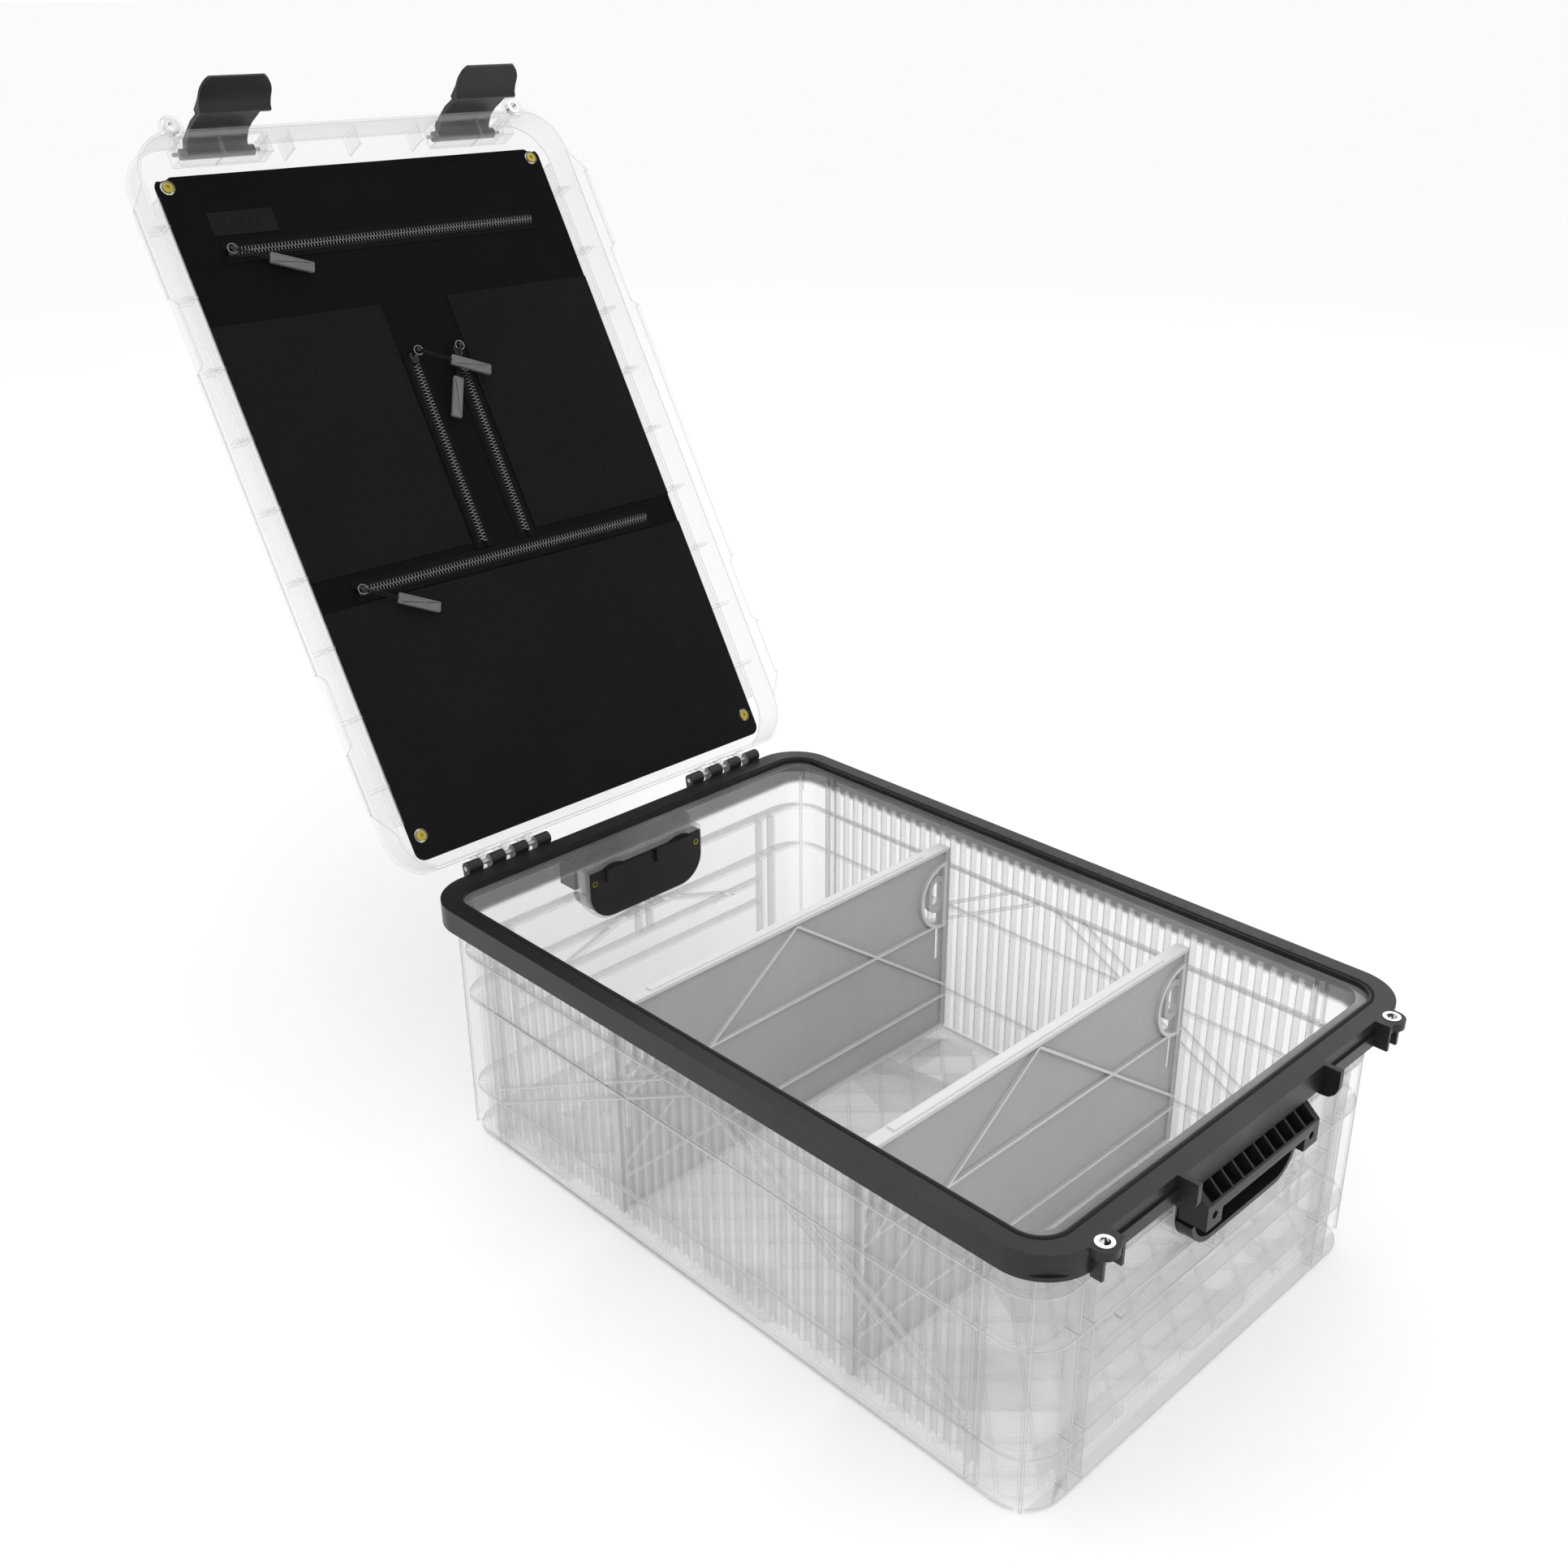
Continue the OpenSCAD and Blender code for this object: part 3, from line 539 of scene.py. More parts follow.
@dataclass(frozen=True)
class Rubber:
    """Soft rubber with a matt skin and light dust."""

    name: str
    dark: Rgb
    light: Rgb

    def build(self) -> bpy.types.Material:
        """Returns the material."""
        desk = NodeDesk(self.name)
        where = desk.place()
        skin = desk.cloud(where, 1400.0, 3.0)
        dust = desk.cloud(where, 60.0, 4.0)
        return desk.finish(
            {
                "Base Color": desk.blend((0.5 * skin + 0.6 * (dust - 0.3)).clipped(), self.dark, self.light),
                "Roughness": 0.62 + 0.15 * skin,
                "Normal": desk.relief(skin, 0.35, 0.06),
                "Specular IOR Level": 0.15,
            }
        )


@dataclass(frozen=True)
class Braid:
    """Braided cord whose strands wind round the piece's own map."""

    name: str
    dark: Rgb
    light: Rgb

    def build(self) -> bpy.types.Material:
        """Returns the material."""
        desk = NodeDesk(self.name)
        along, around, _ = desk.split(desk.own_map())
        left = ((along * 3.6 + around * 12.6).sine().absolute()).above(0.5)
        right = ((along * 3.6 - around * 12.6).sine().absolute()).above(0.5)
        strands = (0.5 * left + 0.5 * right).clipped()
        return desk.finish(
            {
                "Base Color": desk.blend(strands, self.dark, self.light),
                "Roughness": 0.8 - 0.1 * strands,
                "Normal": desk.relief(strands, 0.6, 0.15),
                "Specular IOR Level": 0.15,
            }
        )


class Finishes:
    """Every finish of the tote, built once."""

    def __init__(self) -> None:
        """Builds the materials."""
        self.clear_body = ClearTub("clear_body", 0.70, 0.08, 0.55, 2.0, 0.06, 0.06).build()
        self.clear_lid = ClearPlastic("clear_lid", 0.7, 0.05, 0.6, 2.2, 0.05, 0.04).build()
        self.clear_edge = ClearPlastic("clear_edge", 0.34, 0.45, 0.6, 1.0, 0.1, 0.1).build()
        # The tub's edges also carry a lighter share of the painted shade band under the rim.
        self.tub_edge = ClearTub(
            "clear_tub_edge", 0.45, 0.22, 0.4, 1.0, 0.1, 0.1,
            rail_density=0.0, ring_density=0.34, band_density=0.2, low_density=-0.08,
        ).build()
        # Divider tones: the plate's dark and light, then the painted light on the ribs and on the top flange, then
        # the alpha.
        self.grey_divider = DividerPlastic("grey_divider", 0.34, 0.56, 0.70, 0.74, 0.93).build()
        self.black_plastic = MouldedPlastic("black_plastic", grey(0.009), grey(0.017), 0.36, 0.25, 0.3).build()
        self.latch_plastic = MouldedPlastic("latch_plastic", grey(0.004), grey(0.009), 0.3, 0.15, 0.35).build()
        self.board = MouldedPlastic("board_plastic", grey(0.006), grey(0.01), 0.5, 0.3, 0.25).build()
        self.seal = Rubber("seal_rubber", grey(0.008), grey(0.02)).build()
        self.patch = Rubber("patch_rubber", grey(0.0025), grey(0.006)).build()
        self.tag = Rubber("tag_rubber", grey(0.11), grey(0.17)).build()
        self.steel = Metal("pin_steel", grey(0.35), grey(0.55), 0.3).build()
        self.bright = Metal("eyelet_steel", grey(0.7), grey(0.9), 0.16).build()
        self.brass = Metal("brass", (0.32, 0.26, 0.03), (0.52, 0.44, 0.09), 0.28).build()
        self.wire = Metal("ring_wire", grey(0.16), grey(0.34), 0.3).build()
        self.black_metal = Metal("slider_metal", grey(0.02), grey(0.06), 0.35).build()
        self.teeth = Metal("teeth_metal", grey(0.16), grey(0.30), 0.38).build()
        self.ribbed = Fabric("woven_fabric", Cloth.RIBBED, grey(0.004), grey(0.013), 1.9, 0.25).build()
        self.smooth = Fabric("smooth_fabric", Cloth.PLAIN, grey(0.002), grey(0.0055), 0.9, 0.05).build()
        self.tape = Fabric("zip_tape", Cloth.TAPE, grey(0.0025), grey(0.008), 1.1, 0.2).build()
        self.thread = Fabric("thread", Cloth.TAPE, grey(0.004), grey(0.011), 0.5, 0.1).build()
        self.light_thread = Fabric("light_thread", Cloth.TAPE, grey(0.05), grey(0.12), 0.5, 0.1).build()
        self.cord = Braid("cord_fabric", grey(0.003), grey(0.012)).build()
        self.digits = MouldedPlastic("digit_plastic", grey(0.02), grey(0.035), 0.5, 0.1, 0.3).build()


# ---------------------------------------------------------------- workshop


def new_piece(
    name: str,
    mesh: bmesh.types.BMesh,
    body: str,
    materials: Sequence[bpy.types.Material],
    replaces: Sequence[str] = (),
    smooth_below: float = 40.0,
) -> bpy.types.Object:
    """Turns a finished mesh into a piece that rides on a body.

    Args:
        name: The piece's name.
        mesh: The mesh, in its place in the frame, which is used up.
        body: The body that the piece rides on.
        materials: The piece's materials.
        replaces: The CAD nodes that it stands for.
        smooth_below: The angle, in degrees, under which neighbouring faces are smooth.

    Returns:
        The piece's object.
    """
    for edge in mesh.edges:
        edge.smooth = len(edge.link_faces) == 2 and edge.calc_face_angle() < math.radians(smooth_below)
    for face in mesh.faces:
        face.smooth = True
    data = bpy.data.meshes.new(name)
    mesh.to_mesh(data)
    mesh.free()
    piece = bpy.data.objects.new(name, data)
    bpy.context.scene.collection.objects.link(piece)
    for material in materials:
        data.materials.append(material)
    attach(piece, body)
    if replaces:
        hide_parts(*replaces)
    LOG.info("piece %s: %d faces on %s", name, len(data.polygons), body)
    return piece


def dress(node: str, material: bpy.types.Material) -> None:
    """Gives a CAD node its finish."""
    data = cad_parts[node].data
    data.materials.clear()
    data.materials.append(material)


def softened(
    node: str,
    name: str,
    body: str,
    material: bpy.types.Material,
    width: float,
    edge: bpy.types.Material | None = None,
) -> bpy.types.Object:
    """Makes a copy of a CAD node with rounded edges and shows it in the node's place.

    Args:
        node: The CAD node.
        name: The new piece's name.
        body: The body that it rides on.
        material: Its finish.
        width: The width of the rounding, in millimetres.
        edge: The finish of the rounded edges, where it is another one.

    Returns:
        The new piece.
    """
    mesh = bmesh.new()
    mesh.from_mesh(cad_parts[node].data)
    bmesh.ops.remove_doubles(mesh, verts=mesh.verts, dist=0.01 * MM)
    bmesh.ops.dissolve_limit(
        mesh, angle_limit=math.radians(0.5), verts=mesh.verts, edges=mesh.edges, use_dissolve_boundaries=False
    )
    materials = [material] if edge is None else [material, edge]
    piece = new_piece(name, mesh, body, materials, [node], 30.0)
    bevel = piece.modifiers.new("Rounded edges", "BEVEL")
    bevel.width = width * MM
    bevel.segments = 2 if edge is None else 1
    bevel.material = len(materials) - 1 if edge else -1
    bevel.limit_method = "ANGLE"
    bevel.angle_limit = math.radians(32.0)
    bevel.use_clamp_overlap = edge is None
    bevel.harden_normals = True
    bevel.miter_outer = "MITER_ARC"
    return piece


def rounded_corner(point: Vector, half: Vector, radius: float) -> Vector:
    """Pulls a rectangle's point inside its rounded outline.

    Args:
        point: The point, from the rectangle's centre.
        half: The rectangle's half sizes.
        radius: The corner radius.

    Returns:
        The moved point.
    """
    over_x = (abs(point.x) - (half.x - radius)) / radius
    over_y = (abs(point.y) - (half.y - radius)) / radius
    if over_x <= 0 or over_y <= 0:
        return point
    new_x = over_x * math.sqrt(1 - over_y * over_y / 2)
    new_y = over_y * math.sqrt(1 - over_x * over_x / 2)
    return Vector(
        (
            math.copysign(half.x - radius + new_x * radius, point.x),
            math.copysign(half.y - radius + new_y * radius, point.y),
            point.z,
        )
    )


def punch(mesh: bmesh.types.BMesh, spot: Vector, radius: float) -> None:
    """Cuts a round hole into a flat mesh.

    Args:
        mesh: The flat mesh.
        spot: The hole's middle.
        radius: The hole's radius.
    """
    inner = [f for f in mesh.faces if (f.calc_center_median() - spot).length < radius]
    bmesh.ops.delete(mesh, geom=inner, context="FACES")
    for vert in mesh.verts:
        away = vert.co - spot
        if vert.is_boundary and away.length < radius + SNAP_REACH:
            vert.co = spot + away.normalized() * radius


def away_from_edge(point: Vector, half: Vector) -> Vector:
    """Finds the way out of a rectangle for a point near its edge.

    Args:
        point: The point, from the rectangle's centre.
        half: The rectangle's half sizes.

    Returns:
        A step of length 1 outwards, or none away from the edge.
    """
    over = (abs(point.x / half.x) - NEAR_EDGE, abs(point.y / half.y) - NEAR_EDGE)
    away = Vector((math.copysign(max(0.0, over[0]), point.x), math.copysign(max(0.0, over[1]), point.y), 0.0))
    return away.normalized()


def cloth_slab(
    centre: Point,
    size: Point,
    thickness: float,
    cell: float,
    crown: Callable[[float, float], float],
    shape: Callable[[Vector, Vector], Vector],
    base: float = 0.0,
    holes: Sequence[Point] = (),
) -> bmesh.types.BMesh:
    """Makes a flat piece of cloth in the organiser's own plane, with a rolled edge.

    Args:
        centre: The middle of the cut, in millimetres.
        size: The length and width of the cut, in millimetres.
        thickness: The height of the edge over the base, in millimetres.
        cell: The size of the cells, in millimetres.
        crown: Gives the extra height at a place, in millimetres, from the distances to the centre.
        shape: Moves a point of the rectangle, given with its half sizes, to the cut's outline.
        base: The height of the underside, in millimetres.
        holes: The middles of the holes, in the organiser's plane.

    Returns:
        The mesh, in metres, with its own map in millimetres.
    """
    mesh = bmesh.new()
    half = Vector((size[0] / 2, size[1] / 2, 0.0))
    counts = [max(2, round(s / cell)) for s in size]
    bmesh.ops.create_grid(mesh, x_segments=counts[0], y_segments=counts[1], size=1.0)
    for vert in mesh.verts:
        vert.co = shape(Vector((vert.co.x * half.x, vert.co.y * half.y, 0.0)), half)
    for hole in holes:
        punch(mesh, Vector((hole[0] - centre[0], hole[1] - centre[1], 0.0)), HOLE_RADIUS)
    uv = mesh.loops.layers.uv.new("cut")
    for face in mesh.faces:
        for loop in face.loops:
            loop[uv].uv = (loop.vert.co.x + centre[0], loop.vert.co.y + centre[1])
    for vert in mesh.verts:
        vert.co.z = thickness + crown(vert.co.x, vert.co.y)
    rim = [e for e in mesh.edges if e.is_boundary]
    for out, down in ROLLED_EDGE:
        step = bmesh.ops.extrude_edge_only(mesh, edges=rim)["geom"]
        for vert in (v for v in step if isinstance(v, bmesh.types.BMVert)):
            vert.co += away_from_edge(vert.co, half) * out
            vert.co.z -= (thickness * 0.999) * down
        rim = [e for e in step if isinstance(e, bmesh.types.BMEdge)]
    bmesh.ops.triangle_fill(mesh, edges=rim, use_beauty=True, use_dissolve=False, normal=(0, 0, -1))
    bmesh.ops.recalc_face_normals(mesh, faces=mesh.faces)
    for face in mesh.faces:
        for loop in face.loops:
            if loop[uv].uv.length == 0:
                loop[uv].uv = (loop.vert.co.x + centre[0], loop.vert.co.y + centre[1])
    move = Matrix.Translation(Vector((centre[0], centre[1], base)))
    bmesh.ops.transform(mesh, matrix=Matrix.Scale(MM, 4) @ move, verts=mesh.verts)
    return mesh


def add_stitches(
    mesh: bmesh.types.BMesh, start: Point, end: Point, height: float, pitch: float, length: float, material: int
) -> None:
    """Adds a row of thread stitches in the organiser's own plane.

    Args:
        mesh: The mesh that takes them, in metres.
        start: The row's first point, in millimetres.
        end: Its last point.
        height: The height of the cloth under it.
        pitch: The distance between stitches.
        length: The length of a stitch.
        material: The material's number.
    """
    run = Vector(end) - Vector(start)
    count = max(1, int(run.length / pitch))
    turn = Matrix.Rotation(math.atan2(run.y, run.x), 4, "Z")
    for index in range(count):
        spot = Vector(start) + run * ((index + 0.5) / count)
        place = Matrix.Translation(Vector((spot.x, spot.y, height)) * MM) @ turn
        scale = Matrix.Diagonal((length * MM, THREAD[0] * MM, THREAD[1] * MM, 1.0))
        made = bmesh.ops.create_icosphere(mesh, subdivisions=1, radius=0.5, matrix=place @ scale)
        paint(made["verts"], material)


def map_by_place(mesh: bmesh.types.BMesh, unit: float = MM) -> None:
    """Gives a mesh a map of its own plane, in millimetres, where it has none yet.

    Args:
        mesh: The mesh.
        unit: A millimetre in the mesh's own unit.
    """
    uv = mesh.loops.layers.uv.get("cut") or mesh.loops.layers.uv.new("cut")
    for face in mesh.faces:
        for loop in face.loops:
            if loop[uv].uv.length == 0:
                loop[uv].uv = (loop.vert.co.x / unit, loop.vert.co.y / unit)


def edges_at(verts: Iterable[bmesh.types.BMVert]) -> list[bmesh.types.BMEdge]:
    """Returns the edges that meet the vertices."""
    return list({e for v in verts for e in v.link_edges})


def paint(verts: Iterable[bmesh.types.BMVert], material: int) -> None:
    """Gives the faces that meet the vertices a material, by its number."""
    for face in {f for v in verts for f in v.link_faces}:
        face.material_index = material


def round_edges(
    mesh: bmesh.types.BMesh, edges: Sequence[bmesh.types.BMEdge], width: float, segments: int = 1
) -> None:
    """Bevels edges.

    Args:
        mesh: The mesh.
        edges: The edges.
        width: The bevel's width.
        segments: The number of its steps.
    """
    bmesh.ops.bevel(
        mesh, geom=edges, offset=width, offset_type="OFFSET", segments=segments,
        profile=0.5, affect="EDGES", material=-1,
    )


def add_block(
    mesh: bmesh.types.BMesh,
    centre: tuple[float, float, float],
    size: tuple[float, float, float],
    slant: Matrix | None = None,
) -> list[bmesh.types.BMVert]:
    """Adds a block.

    Args:
        mesh: The mesh that takes it.
        centre: Its middle.
        size: Its length, width and height.
        slant: The shear that it gets first, if any.

    Returns:
        Its vertices.
    """
    place = Matrix.Translation(Vector(centre)) @ (slant or Matrix.Identity(4)) @ Matrix.Diagonal((*size, 1.0))
    return bmesh.ops.create_cube(mesh, size=1.0, matrix=place)["verts"]


def settle(mesh: bmesh.types.BMesh) -> bmesh.types.BMesh:
    """Moves a mesh from the organiser's own plane to its place and returns it."""
    bmesh.ops.transform(mesh, matrix=panel_matrix(), verts=mesh.verts)
    return mesh


# ---------------------------------------------------------------- container


@dataclass
class Container:
    """The clear tub with its black rim, seal, eyelets and handles."""

    finishes: Finishes
    edge_width: float = 0.7
    tub_edge_width: float = 0.35
    handle_edge: float = 0.5
    digit_size: float = 3.2
    digit_half: float = 0.12
    digit_sunk: float = 0.05
    digit_y: float = 190.6

    def build(self) -> None:
        """Dresses the container and adds its digits."""
        finishes = self.finishes
        tub = softened(
            "tub", "clear_tub", "box", finishes.clear_body, self.tub_edge_width, finishes.tub_edge
        )
        tub.visible_shadow = False
        softened("rim_frame", "rim", "box", finishes.black_plastic, self.edge_width)
        for end in ("front", "rear"):
            for part in ("cup", "grip"):
                node = f"handle_{part}_{end}"
                softened(node, f"soft_{node}", "box", finishes.black_plastic, self.handle_edge)
            dress(f"handle_screws_{end}", finishes.brass)
        dress("rim_seal", finishes.seal)
        dress("rim_eyelets", finishes.bright)
        for side in ("left", "right"):
            dress(f"hinge_pin_{side}", finishes.steel)
        self._slot_digits()

    def _slot_digits(self) -> None:
        """Adds the raised slot numbers on both long sides of the rim."""
        mesh = bmesh.new()
        for number in range(1, SLOT_COUNT + 1):
            x = (number - (SLOT_COUNT + 1) / 2) * PITCH
            for side in (-1, 1):
                turn = Matrix.Rotation(math.pi / 2 if side < 0 else -math.pi / 2, 4, "Z")
                place = Matrix.Translation(Vector((x, side * self.digit_y, RIM_TOP - self.digit_sunk)) * MM)
                self._add_number(mesh, number, place @ turn)
        map_by_place(mesh)
        new_piece("slot_numbers", mesh, "box", [self.finishes.digits])

    def _add_number(self, mesh: bmesh.types.BMesh, number: int, place: Matrix) -> None:
        """Adds one number's raised digits.

        Args:
            mesh: The mesh that takes them.
            number: The number.
            place: The transform to its place.
        """
        curve = bpy.data.curves.new("digit", "FONT")
        curve.body = str(number)
        curve.size = self.digit_size * MM
        curve.extrude = self.digit_half * MM
        curve.resolution_u = 2
        curve.align_x, curve.align_y = "CENTER", "CENTER"
        text = bpy.data.objects.new("digit", curve)
        bpy.context.scene.collection.objects.link(text)
        bpy.context.view_layer.update()
        data = bpy.data.meshes.new_from_object(text)
        data.transform(place)
        mesh.from_mesh(data)
        bpy.data.objects.remove(text)
        bpy.data.curves.remove(curve)
        bpy.data.meshes.remove(data)


@dataclass
class Dividers:
    """The two lift-out dividers."""

    finishes: Finishes
    edge_width: float = 0.4

    def build(self) -> None:
        """Makes each divider with rounded edges."""
        for place in ("rear", "front"):
            node = f"divider_{place}"
            softened(node, f"soft_{node}", node, self.finishes.grey_divider, self.edge_width)


@dataclass
class Lid:
    """The clear lid with its latches, pins and eyelets."""

    finishes: Finishes
    shell_edge_width: float = 0.3
    latch_edge_width: float = 0.6

    def build(self) -> None:
        """Dresses the lid's hard pieces."""
        finishes = self.finishes
        shell = softened(
            "lid_shell", "clear_shell", "lid", finishes.clear_lid, self.shell_edge_width,
            finishes.clear_edge,
        )
        shell.visible_shadow = False
        dress("lid_eyelets", finishes.bright)
        dress("organiser_board", finishes.board)
        dress("panel_screws", finishes.brass)
        for side in ("left", "right"):
            dress(f"latch_pin_{side}", finishes.steel)
            node = f"latch_{side}"
            softened(node, f"soft_{node}", node, finishes.latch_plastic, self.latch_edge_width)


# ---------------------------------------------------------------- organiser


@dataclass(frozen=True)
class Pocket:
    """One sewn-on pocket, with its corners in closed-lid millimetres."""

    name: str
    low: Point
    high: Point
    edge: float
    crown: float
    corner: float
    sewn: tuple[str, ...]


@dataclass
class Organiser:
    """The fabric organiser: cover, pockets, patch and seams."""

    finishes: Finishes
    length: float = 559.0
    width: float = 362.0
    centre_x: float = -7.5
    corner: float = 8.0
    cover_thickness: float = 2.4
    inset_seam: float = 4.0
    stitch_pitch: float = 3.4
    cover_cell: float = 3.4
    pocket_cell: float = 3.2
    seam_rows: tuple[tuple[float, float], ...] = ((266.0, 174.0), (220.0, 176.0), (196.0, 176.0), (157.0, 176.0))
    pockets: tuple[Pocket, ...] = (
        Pocket("pocket_left", (-57.0, -181.0), (151.0, -32.0), 0.9, 1.5, 0.0, ("low_x", "high_x", "high_y")),
        Pocket("pocket_right", (-57.0, 33.0), (151.0, 181.0), 0.9, 1.5, 0.0, ("low_x", "high_x", "low_y")),
        Pocket("pocket_bottom", (-287.0, -181.0), (-83.0, 181.0), 0.9, 1.5, 8.0, ("high_x",)),
    )

    def build(self) -> None:
        """Builds the cover and everything sewn to it."""
        self._cover()
        for number, pocket in enumerate(self.pockets):
            self._pocket(pocket, number)
        self._patch()

    def _cover(self) -> None:
        """Builds the smooth cover, drawn over the board."""
        size = (self.length, self.width)
        corner = self.corner

        def wave(x: float, y: float) -> float:
            """Returns the cover's slight unevenness at a place."""
            return 0.25 * noise.noise(Vector((x / 60.0, y / 45.0, 3.0))) - 0.1

        mesh = cloth_slab(
            (self.centre_x, 0.0),
            size,
            self.cover_thickness,
            self.cover_cell,
            wave,
            lambda p, half: rounded_corner(p, half, corner),
            -self.cover_thickness,
            [on_panel(*screw) for screw in SCREWS],
        )
        map_by_place(mesh)
        for x, reach in self.seam_rows:
            add_stitches(mesh, on_panel(x, -reach), on_panel(x, reach), 0.02, self.stitch_pitch, 2.3, 1)
        map_by_place(mesh)
        piece = new_piece(
            "cover_cloth", settle(mesh), "lid",
            [self.finishes.smooth, self.finishes.thread], ["organiser_cover"], 50.0,
        )

    def _pocket(self, pocket: Pocket, number: int) -> None:
        """Builds one pocket with its seams.

        Args:
            pocket: The pocket's sizes.
            number: Its number, which shifts its creases.
        """
        size = (pocket.high[0] - pocket.low[0], pocket.high[1] - pocket.low[1])
        middle = ((pocket.high[0] + pocket.low[0]) / 2, (pocket.high[1] + pocket.low[1]) / 2)
        centre = on_panel(*middle)
        corner = pocket.corner

        def crown(x: float, y: float) -> float:
            """Returns the pocket's fullness at a place."""
            near = min(size[0] / 2 - abs(x), size[1] / 2 - abs(y))
            rise = 1.0 - math.exp(-max(0.0, near) / 9.0)
            crease = noise.noise(Vector((x / 55.0, y / 38.0, 7.0 * number)))
            groove = math.exp(-(((near - self.inset_seam) / 1.2) ** 2))
            return pocket.crown * rise * (0.72 + 0.5 * crease) - 0.35 * groove

        def outline(point: Vector, half: Vector) -> Vector:
            """Rounds the outer corners of the pocket that reaches the panel's end."""
            if corner and point.x < 0:
                return rounded_corner(point, half, corner)
            return point

        screws = [
            on_panel(*screw)
            for screw in SCREWS
            if pocket.low[0] < screw[0] < pocket.high[0] and pocket.low[1] < screw[1] < pocket.high[1]
        ]
        mesh = cloth_slab(centre, size, pocket.edge, self.pocket_cell, crown, outline, holes=screws)
        for start, end in self._seam_lines(pocket):
            add_stitches(mesh, on_panel(*start), on_panel(*end), pocket.edge + 0.25, self.stitch_pitch, 2.4, 1)
        map_by_place(mesh)
        piece = new_piece(
            f"{pocket.name}_cloth", settle(mesh), "lid",
            [self.finishes.ribbed, self.finishes.thread], [pocket.name], 50.0,
        )

    def _seam_lines(self, pocket: Pocket) -> Iterable[tuple[Point, Point]]:
        """Returns the start and end of each seam row of a pocket."""
        (x0, y0), (x1, y1) = pocket.low, pocket.high
        inset = self.inset_seam
        sides = {
            "low_x": ((x0 + inset, y0 + inset), (x0 + inset, y1 - inset)),
            "high_x": ((x1 - inset, y0 + inset), (x1 - inset, y1 - inset)),
            "low_y": ((x0 + inset, y0 + inset), (x1 - inset, y0 + inset)),
            "high_y": ((x0 + inset, y1 - inset), (x1 - inset, y1 - inset)),
        }
        return [sides[name] for name in pocket.sewn]

    def _patch(self) -> None:
        """Builds the rubber patch with a raised border and a row of plain bars."""
        centre = on_panel(231.5, -122.0)
        half = Vector((9.5, 28.0, 0.0))
        mesh = bmesh.new()
        bmesh.ops.create_grid(mesh, x_segments=1, y_segments=1, size=1.0)
        for vert in mesh.verts:
            vert.co = Vector((vert.co.x * half.x, vert.co.y * half.y, 0.1))
        top = mesh.faces[:]
        bmesh.ops.inset_region(mesh, faces=top, thickness=0.0, depth=0.0)
        bmesh.ops.translate(mesh, vec=Vector((0, 0, 0.7)), verts=list({v for f in top for v in f.verts}))
        bmesh.ops.inset_region(mesh, faces=top, thickness=1.4, depth=0.0)
        bmesh.ops.inset_region(mesh, faces=top, thickness=0.3, depth=-0.35)
        for index in range(5):
            slant = Matrix.Shear("XY", 4, (0.0, 0.25)) if index % 2 else None
            bar = add_block(mesh, (0.0, -14.0 + 7.0 * index, 0.55), (7.5, 2.2, 0.35), slant)
            round_edges(mesh, edges_at(bar), 0.15)
        bmesh.ops.transform(
            mesh,
            matrix=Matrix.Scale(MM, 4) @ Matrix.Translation(Vector((centre[0], centre[1], 0.0))),
            verts=mesh.verts,
        )
        map_by_place(mesh)
        new_piece("patch", settle(mesh), "lid", [self.finishes.patch], ["label_patch"], 30.0)


# ---------------------------------------------------------------- zips


